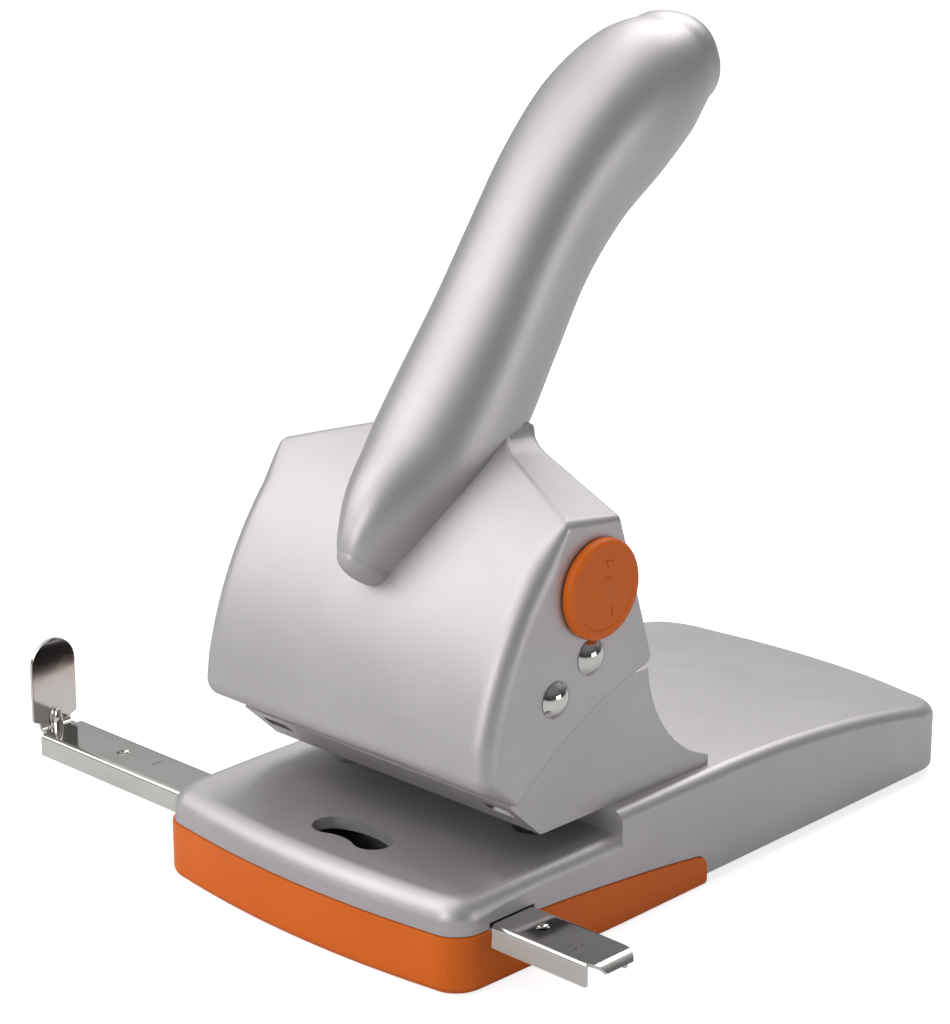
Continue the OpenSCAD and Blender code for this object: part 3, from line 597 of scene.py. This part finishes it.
def mirrored(half, height):
    """A closed loop from a right half of a plan, with its height at each point."""
    points = [Vector((p.x, p.y, height(p))) for p in half]
    return points + [Vector((-p.x, p.y, p.z)) for p in reversed(points)]


def capped(rings):
    """Rings of mirrored loops joined in order, with ruled caps from side to side."""
    count = len(rings[0])
    points = [p * MM for ring in rings for p in ring]
    faces = []
    for i in range(len(rings) - 1):
        for j in range(count):
            k = (j + 1) % count
            faces.append((i * count + j, i * count + k, (i + 1) * count + k, (i + 1) * count + j))
    for start in (0, (len(rings) - 1) * count):
        faces += [(start + j, start + j + 1, start + count - 2 - j, start + count - 1 - j)
                  for j in range(count // 2 - 1)]
    return points, faces


def rounds(radius, steps=7):
    """Pairs of inset and drop in mm along a quarter round of the given radius."""
    for k in range(steps + 1):
        a = math.pi / 2 * k / steps
        yield radius * (1 - math.cos(a)), radius * (1 - math.sin(a))


def soft(p, inset, low, high):
    """A plan point's inset, grown towards the front edge, where the casting is rounder."""
    share = min(max((-30.0 - p.y) / 25.0, 0.0), 1.0)
    return inset * (low + (high - low) * share * share * (3 - 2 * share))


def wider(radius, height, y_end, low, high, skin, top=True):
    """Rings of the base's plan whose top or bottom edge is rounded, more towards the front."""
    outer, inner = front_half(skin, y_end), front_half(skin + 0.5, y_end)
    sign = -1 if top else 1
    rings = []
    for inset, drop in rounds(radius):
        half = []
        for p, q in zip(outer, inner):
            place = p + (q - p) / 0.5 * soft(p, inset, low, high)
            half.append(Vector((place.x, place.y, height + sign * soft(p, drop, low, high))))
        rings.append(half + [Vector((-p.x, p.y, p.z)) for p in reversed(half)])
    return rings


def build_base():
    """The base casting with its rounded edges."""
    # The two nodes are one casting, joined again where they meet at the paper stop
    base = copy_of("base_casting", "base_platform")
    cut(base, copy_of("deck_part", "base_deck"), "UNION")
    floor_ring = mirrored(front_half(-0.05, STOP_Y + 2), lambda p: -1.0)
    platform = new_piece("platform_envelope", *capped(
        [floor_ring] + wider(4.6, PLATFORM + 0.02, STOP_Y + 2, 1.0, 1.55, -0.05)), CAST_SILVER)
    deck_rings = [mirrored(rear_half(-0.06), lambda p: -1.1)]
    for inset, drop in rounds(4.2):
        deck_rings.append(mirrored(rear_half(inset - 0.06), lambda p: deck_height(p.y) + 0.03 - drop))
    deck = new_piece("deck_envelope", *capped(deck_rings), CAST_SILVER)
    cut(platform, deck, "UNION")
    cut(base, platform, "INTERSECT")
    ease_edges(base, 0.45, 2, 50.0)
    bake(base)
    smooth(base, 38.0)
    seat(base, "base_platform", "base_deck")


def build_tray():
    """The chip tray with a softly rounded lower edge."""
    tray = copy_of("chip_tray_moulding", "chip_tray")
    low = wider(2.6, -0.02, 60.0, 1.0, 1.2, -0.92, top=False)[::-1]
    roof = mirrored(front_half(-0.92, 60.0), lambda p: 25.0)
    cut(tray, new_piece("tray_envelope", *capped(low + [roof]), ORANGE), "INTERSECT")
    ease_edges(tray, 0.5, 2, 50.0)
    bake(tray)
    smooth(tray, 38.0)
    # A choice of looks: without it the plated stop of the guide shows an orange reflection
    tray.visible_glossy = False
    seat(tray, "chip_tray")


build_base()
build_tray()

# ---- Paper guide: folded channel, upturned stop and curled tip ----

GUIDE_TOP, GUIDE_DEEP, GUIDE_T = 20.2, 7.5, 1.2
GUIDE_Y0, GUIDE_Y1 = -45.8, -27.4
GUIDE_X0, GUIDE_X1 = -148.5, 106.0
GUIDE_MIDDLE = (GUIDE_Y0 + GUIDE_Y1) / 2


def strip_ring(centre, out, half, thickness=GUIDE_T):
    """A ring across a strip: centre in x and z, out the unit normal of its face, half its width."""
    up = thickness / 2
    corners = [(-half, -up), (half, -up), (half, up), (-half, up)]
    return [Vector((centre.x + out.x * v, GUIDE_MIDDLE + y, centre.y + out.y * v))
            for y, v in eased(corners, 0.3, True, 2)]


def strip(name, stations):
    """A bent strip lofted through stations of centre, face normal and half width."""
    points, faces = loft([strip_ring(c, o, h) for c, o, h in stations])
    return new_piece(name, [p * MM for p in points], faces, NICKEL)


def build_guide():
    """The folded strip with its upturned stop, curled tip, detent holes and plain marks."""
    y0, y1, top, low, t = GUIDE_Y0, GUIDE_Y1, GUIDE_TOP, GUIDE_TOP - GUIDE_DEEP, GUIDE_T
    outer = [(y0, low), (y0, top), (y1, top), (y1, low)]
    inner = [(y1 - t, low), (y1 - t, top - t), (y0 + t, top - t), (y0 + t, low)]
    section = eased(outer, 1.7, False, 5) + eased(inner, 0.6, False, 3)
    ends = (GUIDE_X0 + 3.4, GUIDE_X1 - 3)
    points, faces = loft([[Vector((x, p.x, p.y)) for p in section] for x in ends])
    guide = new_piece("paper_guide_channel", [p * MM for p in points], faces, NICKEL)
    level = top - t / 2
    up, right = Vector((0, 1)), Vector((1, 0))
    # Stop: along the strip, round the bend, then up to its round top
    bend = Vector((GUIDE_X0 - t / 2 + 1.9, level + 1.9))
    stations = [(Vector((GUIDE_X0 + 8, level)), up, 6.4), (Vector((bend.x + 0.2, level)), up, 6.4)]
    for i in range(1, 7):
        a = math.radians(15 * i)
        way = Vector((-math.sin(a), -math.cos(a)))
        stations.append((bend + way * 1.9, -way, 6.4))
    x, crown = GUIDE_X0 - t / 2, GUIDE_TOP + 31.0
    full = (y1 - y0) / 2
    stations += [(Vector((x, bend.y + 0.8)), right, 6.6), (Vector((x, bend.y + 1.5)), right, full - 0.6)]
    stations += [(Vector((x, bend.y + 2.2)), right, full), (Vector((x, crown - full)), right, full)]
    for i in range(1, 13):
        a = math.radians(7.2 * i)
        stations.append((Vector((x, crown - full + full * math.sin(a))), right, full * math.cos(a)))
    cut(guide, strip("stop_tool", stations), "UNION")
    # Curled tip at the other end
    curl_x, curl_r = GUIDE_X1 - 1.2, 3.2
    stations = [(Vector((GUIDE_X1 - 9, level)), up, full - 1.0), (Vector((curl_x, level)), up, full - 1.2)]
    for i in range(1, 6):
        a = math.radians(11 * i)
        way = Vector((math.sin(a), math.cos(a)))
        stations.append((Vector((curl_x, level - curl_r)) + way * curl_r, way, full - 1.2 - 0.35 * i))
    end, way, _ = stations[-1]
    stations.append((end + Vector((way.y, -way.x)), way, full - 3.6))
    cut(guide, strip("tip_tool", stations), "UNION")
    # Pressed gusset that stiffens the foot of the stop
    dome = [(-5.5 * math.cos(math.pi * i / 12), 1.95 * math.sin(math.pi * i / 12)) for i in range(13)]
    foot = (GUIDE_X0 + 0.9, GUIDE_MIDDLE, top + 0.8)
    cut(guide, turned("gusset_tool", dome, foot, (0, 0, 1), NICKEL, 24), "UNION")
    # Detent holes with worn rims
    for x in (GUIDE_X0 + 35.5, 77.7):
        hole = [(0, 0), (0, 1.8), (4.4, 1.8), (5.2, 2.4), (5.2, 0)]
        cut(guide, turned("hole_tool", hole, (x, GUIDE_MIDDLE, top - 5), (0, 0, 1), NICKEL, 32))
    # Plain engraved marks for paper formats
    for x, y in ((92, -3.4), (94.2, -3.4), (94.2, -0.6), (-98, 3.2), (-98, 0.8)):
        sketch = [(x - 0.25, y - 1.1), (x + 0.25, y - 1.1), (x + 0.25, y + 1.1), (x - 0.25, y + 1.1)]
        block = [Vector((u, GUIDE_MIDDLE + v, top - 0.15)) for u, v in sketch]
        points, faces = loft([block, [p + Vector((0, 0, 1)) for p in block]])
        cut(guide, new_piece("mark_tool", [p * MM for p in points], faces, NICKEL))
    smooth(guide, 38.0)
    seat(guide, "paper_guide")


build_guide()

# ---- Turned pieces ----

LEVER_OUT = 62.3
LEVER_IN = 59.3


def domed(r, h, steps=8):
    """Profile of a dome of radius r and height h, from its rim to its top."""
    ball = (r * r + h * h) / (2 * h)
    start = math.asin(min(1.0, r / ball))
    rim = [(0.0, r - 0.25), (0.25, r)]
    angles = [start * (1 - i / steps) for i in range(1, steps + 1)]
    return rim + [(ball * math.cos(a) - ball + h, ball * math.sin(a)) for a in angles]


def build_shafts():
    """Pivot and crank shafts, domed on the right and bored for their screws on the left."""
    for name, y, z in (("pivot_shaft", 0.0, 0.0), ("crank_shaft", CRANK[0], CRANK[1])):
        place = (-LEVER_OUT, PIVOT.y / MM + y, PIVOT.z / MM + z)
        length = 2 * LEVER_OUT
        bore = SHAFT_R * 0.6
        profile = [(12, 0), (12, bore), (0.3, bore), (0, bore + 0.3), (0, SHAFT_R - 0.3), (0.3, SHAFT_R),
                   (length, SHAFT_R)] + [(length + a, r) for a, r in domed(5.75, 3.0)]
        shaft = turned(name + "_turned", profile, place, (1, 0, 0), NICKEL)
        smooth(shaft, 32.0)
        seat(shaft, name)


def build_knob():
    """The lock knob: a disc with a rounded rim, a low boss and two raised triangles."""
    place = Vector((LEVER_OUT + 0.3, KNOB.y / MM, KNOB.z / MM))
    rim, thick = 15.6, 3.4
    profile = [(0, 0), (0, rim - 0.4), (0.4, rim)]
    for i in range(9):
        a = math.radians(11.25 * i)
        profile.append((thick - 2.0 + 2.0 * math.sin(a), rim - 2.0 + 2.0 * math.cos(a)))
    profile += [(thick, 12.6), (thick - 0.35, 12.0), (thick - 0.35, 4.6), (thick - 0.2, 4.2),
                (thick + 0.1, 3.6), (thick + 0.35, 2.4), (thick + 0.45, 1.2), (thick + 0.45, 0)]
    knob = turned("lock_knob_moulding", profile, place, (1, 0, 0), ORANGE, 96)
    # Two raised triangles that show which way locks
    for angle in (78.0, -62.0):
        out = Vector((0, math.cos(math.radians(angle)), math.sin(math.radians(angle))))
        along = Vector((0, -out.z, out.y))
        corners = [place + out * 9.0 + along * 1.5, place + out * 9.0 - along * 1.5, place + out * 6.6]
        low = [p + Vector((thick - 1.2, 0, 0)) for p in corners]
        points, faces = loft([low, [p + Vector((1.15, 0, 0)) for p in low]])
        cut(knob, new_piece("arrow_tool", [p * MM for p in points], faces, ORANGE), "UNION")
    cut(knob, turned("socket_tool", [(-1, 0), (-1, SHAFT_R * 0.7), (thick - 1.2, SHAFT_R * 0.7),
                                     (thick - 1.2, 0)], place, (1, 0, 0), ORANGE))
    smooth(knob, 30.0)
    seat(knob, "lock_knob")


def build_spindle():
    """The stepped spindle between knob and pawl."""
    place = (0, KNOB.y / MM, KNOB.z / MM)
    steps = [(53.0, 0), (53.0, 3.0), (LEVER_IN, 3.0), (LEVER_IN, SHAFT_R), (LEVER_OUT + 0.3, SHAFT_R),
             (LEVER_OUT + 0.3, SHAFT_R * 0.7), (65.6, SHAFT_R * 0.7), (65.6, 0)]
    spindle = turned("lock_spindle_turned", eased(steps, 0.3, False, 2), place, (1, 0, 0), ZINC)
    smooth(spindle, 32.0)
    seat(spindle, "lock_spindle")


build_shafts()
build_knob()
build_spindle()

# ---- Screws and springs: Geometry Nodes trees ----

MULTIPLY, SUBTRACT, ADD, DIVIDE = ({"operation": name} for name in ("MULTIPLY", "SUBTRACT", "ADD", "DIVIDE"))


def node_tree(name, labels):
    """An empty Geometry Nodes tree with float inputs of the given labels; returns it and its inputs."""
    tree = bpy.data.node_groups.new(name, "GeometryNodeTree")
    tree.interface.new_socket("Geometry", in_out="INPUT", socket_type="NodeSocketGeometry")
    tree.interface.new_socket("Geometry", in_out="OUTPUT", socket_type="NodeSocketGeometry")
    for label in labels:
        tree.interface.new_socket(label, in_out="INPUT", socket_type="NodeSocketFloat")
    return tree, add(tree, "NodeGroupInput").outputs


def finish_tree(tree, geometry, mat):
    """Ends a tree in Realize Instances and Set Material."""
    real = add(tree, "GeometryNodeRealizeInstances", Geometry=geometry)
    dressed = add(tree, "GeometryNodeSetMaterial", Geometry=real, Material=mat)
    add(tree, "NodeGroupOutput", Geometry=dressed)


def grown(name, tree, places, values, mat):
    """A plain mesh from a tree that runs on loose points in mm, its inputs set by identifier."""
    mesh = bpy.data.meshes.new(name)
    mesh.from_pydata([tuple(Vector(p) * MM) for p in places], [], [])
    piece = link(name, mesh)
    modifier = piece.modifiers.new("grow", "NODES")
    modifier.node_group = tree
    for item in tree.interface.items_tree:
        if item.in_out == "INPUT" and item.name in values:
            modifier[item.identifier] = values[item.name]
    bake(piece)
    bm = bmesh.new()
    bm.from_mesh(piece.data)
    bmesh.ops.recalc_face_normals(bm, faces=bm.faces)
    bm.to_mesh(piece.data)
    bm.free()
    if not piece.data.materials:
        piece.data.materials.append(mat)
    return piece


def screw_tree(mat):
    """Pan-head screws on points, turned about X by Turn: a shank and a domed head with a cross recess."""
    tree, given = node_tree("pan_head_screws", ("Shank radius", "Shank length", "Head radius", "Head height",
                                                "Turn"))
    head_r, head_h = given["Head radius"], given["Head height"]
    shank = add(tree, "GeometryNodeMeshCylinder", Radius=given["Shank radius"], Depth=given["Shank length"],
                Vertices=32)
    middle = add(tree, "ShaderNodeMath", {0: given["Shank length"], 1: 0.5}, MULTIPLY)
    into_head = add(tree, "ShaderNodeMath", {0: middle, 1: 0.1 * MM}, SUBTRACT)
    lift = add(tree, "ShaderNodeCombineXYZ", Z=into_head)
    shank = add(tree, "GeometryNodeTransform", Geometry=shank, Translation=lift)
    disc = add(tree, "GeometryNodeMeshCylinder", Radius=head_r, Depth=head_h, Vertices=48)
    drop = add(tree, "ShaderNodeMath", {0: head_h, 1: -0.5}, MULTIPLY)
    below = add(tree, "ShaderNodeCombineXYZ", Z=drop)
    disc = add(tree, "GeometryNodeTransform", Geometry=disc, Translation=below)
    # The head is a disc inside a ball, which gives it its domed top
    ball = add(tree, "ShaderNodeMath", {0: head_r, 1: 1.3}, MULTIPLY)
    sphere = add(tree, "GeometryNodeMeshUVSphere", Radius=ball, Segments=48, Rings=32)
    reach = add(tree, "ShaderNodeMath", {0: head_r, 1: 1.28}, MULTIPLY)
    sink = add(tree, "ShaderNodeMath", {0: reach, 1: head_h}, SUBTRACT)
    above = add(tree, "ShaderNodeCombineXYZ", Z=sink)
    sphere = add(tree, "GeometryNodeTransform", Geometry=sphere, Translation=above)
    head = add(tree, "GeometryNodeMeshBoolean", None, {"operation": "INTERSECT"})
    for part in (disc, sphere):
        tree.links.new(part.outputs[0], head.inputs[1])
    long = add(tree, "ShaderNodeMath", {0: head_r, 1: 1.1}, MULTIPLY)
    thin = add(tree, "ShaderNodeMath", {0: head_r, 1: 0.26}, MULTIPLY)
    deep = add(tree, "ShaderNodeMath", {0: head_h, 1: 1.2}, MULTIPLY)
    recess = add(tree, "GeometryNodeMeshBoolean", {0: head}, {"operation": "DIFFERENCE"})
    top = add(tree, "ShaderNodeMath", {0: head_h, 1: -1.0}, MULTIPLY)
    at_top = add(tree, "ShaderNodeCombineXYZ", Z=top)
    for sizes in ((long, thin, deep), (thin, long, deep)):
        size = add(tree, "ShaderNodeCombineXYZ", dict(zip("XYZ", sizes)))
        bar = add(tree, "GeometryNodeMeshCube", Size=size)
        bar = add(tree, "GeometryNodeTransform", Geometry=bar, Translation=at_top)
        tree.links.new(bar.outputs[0], recess.inputs[1])
    whole = add(tree, "GeometryNodeJoinGeometry")
    for part in (shank, recess):
        tree.links.new(part.outputs[0], whole.inputs[0])
    turn = add(tree, "ShaderNodeCombineXYZ", X=given["Turn"])
    placed = add(tree, "GeometryNodeInstanceOnPoints", Points=given["Geometry"], Instance=whole,
                 Rotation=turn)
    finish_tree(tree, placed, mat)
    return tree


def coil_tree(mat):
    """A compression spring that stands on each point, its end turns closed."""
    tree, given = node_tree("coil_springs", ("Coil radius", "Wire radius", "Height", "Turns"))
    coil_r, wire_r = given["Coil radius"], given["Wire radius"]
    spiral = add(tree, "GeometryNodeCurveSpiral", Rotations=given["Turns"], Start_Radius=coil_r,
                 End_Radius=coil_r, Resolution=24, Height=0.0)
    # The first and last turn rise by one wire diameter, the turns between them by the rest
    share = add(tree, "GeometryNodeSplineParameter")
    end = add(tree, "ShaderNodeMath", {0: 1.0, 1: given["Turns"]}, DIVIDE)
    last_start = add(tree, "ShaderNodeMath", {0: 1.0, 1: end}, SUBTRACT)
    first = add(tree, "ShaderNodeMapRange", Value=share, From_Max=end)
    rise = add(tree, "ShaderNodeMapRange", Value=share, From_Min=end, From_Max=last_start)
    last = add(tree, "ShaderNodeMapRange", Value=share, From_Min=last_start)
    ends = add(tree, "ShaderNodeMath", {0: first, 1: last}, ADD)
    twice = add(tree, "ShaderNodeMath", {0: rise, 1: 2.0}, MULTIPLY)
    closing = add(tree, "ShaderNodeMath", {0: ends, 1: twice}, SUBTRACT)
    wire_d = add(tree, "ShaderNodeMath", {0: wire_r, 1: 2.0}, MULTIPLY)
    lift = add(tree, "ShaderNodeMath", {0: closing, 1: wire_d}, MULTIPLY)
    even = add(tree, "ShaderNodeMath", {0: rise, 1: given["Height"]}, MULTIPLY)
    height = add(tree, "ShaderNodeMath", {0: even, 1: lift}, ADD)
    offset = add(tree, "ShaderNodeCombineXYZ", Z=height)
    coil = add(tree, "GeometryNodeSetPosition", Geometry=spiral, Offset=offset)
    section = add(tree, "GeometryNodeCurvePrimitiveCircle", Radius=wire_r, Resolution=12)
    wire = add(tree, "GeometryNodeCurveToMesh", Curve=coil, Profile_Curve=section, Fill_Caps=True)
    placed = add(tree, "GeometryNodeInstanceOnPoints", Points=given["Geometry"], Instance=wire)
    finish_tree(tree, placed, mat)
    return tree


def build_screws():
    """Every group of screws: places, then shank radius and length, head radius and height, and turn."""
    tree = screw_tree(ZINC)
    posts = [(-40, 71.2, 3.6), (40, 71.2, 3.6), (0, BASE_REAR - 18, 3.6)]
    low_z = GUIDE_TOP - GUIDE_DEEP - 0.3 - 1.4
    kinds = {
        "frame_screws": ([(s * 42, y, DECK + 3) for s in (-1, 1) for y in (24, 50)], (2.5, 13, 4.6, 3),
                         math.pi),
        "cover_screws": (posts, (2.0, 10, 3.6, 2.2), 0.0),
        "strap_screws": ([(s * 24, y, low_z) for s in (-1, 1) for y in (-54.3, -19.4)], (1.5, 8, 2.8, 1.8),
                         0.0),
        "detent_screw": ([(-42, GUIDE_MIDDLE, PLATFORM - 4.6)], (1.25, 3, 2.2, 1.4), 0.0)}
    for node, (places, (r, length, head_r, head_h), turn) in kinds.items():
        values = {"Shank radius": r * MM, "Shank length": length * MM, "Head radius": head_r * MM,
                  "Head height": head_h * MM, "Turn": turn}
        screws = grown(node + "_pan_head", tree, places, values, ZINC)
        smooth(screws, 35.0)
        seat(screws, node)


def build_springs():
    """Both return springs, each built at one fixed height, though the real ones shorten as the punches go down."""
    tree = coil_tree(WIRE)
    seat_z, collar_z, clear = 42.9, 74.0, 0.73
    low, high = seat_z + clear, collar_z - clear
    for side, x in (("left", -40.0), ("right", 40.0)):
        node = "return_spring_" + side
        values = {"Coil radius": 5.3 * MM, "Wire radius": 0.67 * MM, "Height": (high - low) * MM,
                  "Turns": 7.0}
        spring = grown(node + "_coil", tree, [(x, 0, low)], values, WIRE)
        smooth(spring, 50.0)
        seat(spring, node)
        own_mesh(spring)


build_screws()
build_springs()

# ---- Sheet metal and machined pieces that keep their CAD shape, with eased edges ----

ROUNDING = {"side_frame": 0.5, "punch_left": 0.25, "punch_right": 0.25, "punch_guide_left": 0.25,
            "punch_guide_right": 0.25, "die_bush_left": 0.15, "die_bush_right": 0.15, "guide_strap": 0.2,
            "detent_spring": 0.1, "lock_pawl": 0.3, "lock_clip": 0.15, "bottom_cover": 0.3,
            "rubber_feet": 0.5, "shaft_screws": 0.15, "pivot_washers": 0.1}
for node, width in ROUNDING.items():
    edged(node, width)

# ---- Stage: floor, lights and camera ----

def studio_floor():
    """Pale seamless paper: near-white where it is seen, a little darker in what reflects it."""
    mat = bpy.data.materials.new("pale_floor_paper")
    mat.use_nodes = True
    tree = mat.node_tree
    tree.nodes.clear()
    bounce = add(tree, "ShaderNodeBsdfDiffuse", Color=(0.62, 0.62, 0.62, 1))
    paper = add(tree, "ShaderNodeBsdfDiffuse", Color=(0.45, 0.45, 0.45, 1))
    glow = add(tree, "ShaderNodeEmission", Color=(1, 1, 1, 1), Strength=0.8)
    seen = add(tree, "ShaderNodeAddShader", {0: paper, 1: glow})
    path = add(tree, "ShaderNodeLightPath").outputs["Is Camera Ray"]
    mix = add(tree, "ShaderNodeMixShader", {0: path, 1: bounce, 2: seen})
    add(tree, "ShaderNodeOutputMaterial", Surface=mix)
    return mat


floor_points = [(-6, -6, 0), (6, -6, 0), (6, 6, 0), (-6, 6, 0)]
floor = new_piece("floor", floor_points, [(0, 1, 2, 3)], studio_floor())


def add_light(kind, name, place, aim, strength, size, colour=(1, 1, 1)):
    """A soft light that shines from place to aim; size is metres for an area, radians for a sun."""
    light = bpy.data.lights.new(name, kind)
    light.energy = strength
    light.color = colour
    if kind == "AREA":
        light.shape = "RECTANGLE"
        light.size, light.size_y = size
    else:
        light.angle = size
    lamp = bpy.data.objects.new(name, light)
    lamp.location = place
    lamp.rotation_euler = (Vector(aim) - Vector(place)).to_track_quat("-Z", "Y").to_euler()
    bpy.context.scene.collection.objects.link(lamp)


AIM = (0, 0.04, 0.12)
add_light("SUN", "overhead", (-0.5, -0.5, 2.0), AIM, 0.9, 1.1)
add_light("AREA", "front_left", (-1.0, -1.1, 0.95), AIM, 8.5, (1.3, 1.1))
add_light("AREA", "front", (0.15, -1.5, 0.55), AIM, 6, (0.7, 0.7))
add_light("AREA", "right_low", (1.5, 0.5, 0.25), (0, 0.1, 0.02), 3.2, (0.7, 0.35))
add_light("AREA", "rear_top", (-0.4, 1.0, 1.3), AIM, 11, (1.2, 0.8))


def studio_world():
    """Surroundings of a studio: bright overhead, dark at the horizon and to the right."""
    sky = bpy.data.worlds.new("studio")
    sky.use_nodes = True
    tree = sky.node_tree
    way = add(tree, "ShaderNodeSeparateXYZ", Vector=add(tree, "ShaderNodeTexCoord").outputs["Generated"])
    high = add(tree, "ShaderNodeMapRange", {"Value": way.outputs["Z"]}, {"interpolation_type": "SMOOTHSTEP"},
               From_Min=0.1, From_Max=0.65, To_Min=0.22, To_Max=0.75)
    left = add(tree, "ShaderNodeMapRange", {"Value": way.outputs["X"]}, {"interpolation_type": "SMOOTHSTEP"},
               From_Min=0.0, From_Max=0.7, To_Min=1.0, To_Max=0.3)
    level = add(tree, "ShaderNodeMath", {0: high, 1: left}, MULTIPLY).outputs[0]
    tree.links.new(level, tree.nodes["Background"].inputs["Strength"])
    tree.nodes["Background"].inputs["Color"].default_value = (1.0, 1.0, 1.0, 1)
    return sky


world = studio_world()
bpy.context.scene.world = world
bpy.context.scene.view_settings.view_transform = "Standard"

camera = bpy.data.cameras.new("camera")
camera.lens = 111.1
camera.sensor_width = 36.0
eye = bpy.data.objects.new("camera", camera)
eye.location = (0.650, -0.6513, 0.4222)
eye.rotation_euler = Vector((-0.6638, 0.6803, -0.3107)).to_track_quat("-Z", "Y").to_euler()
bpy.context.scene.collection.objects.link(eye)
bpy.context.scene.camera = eye
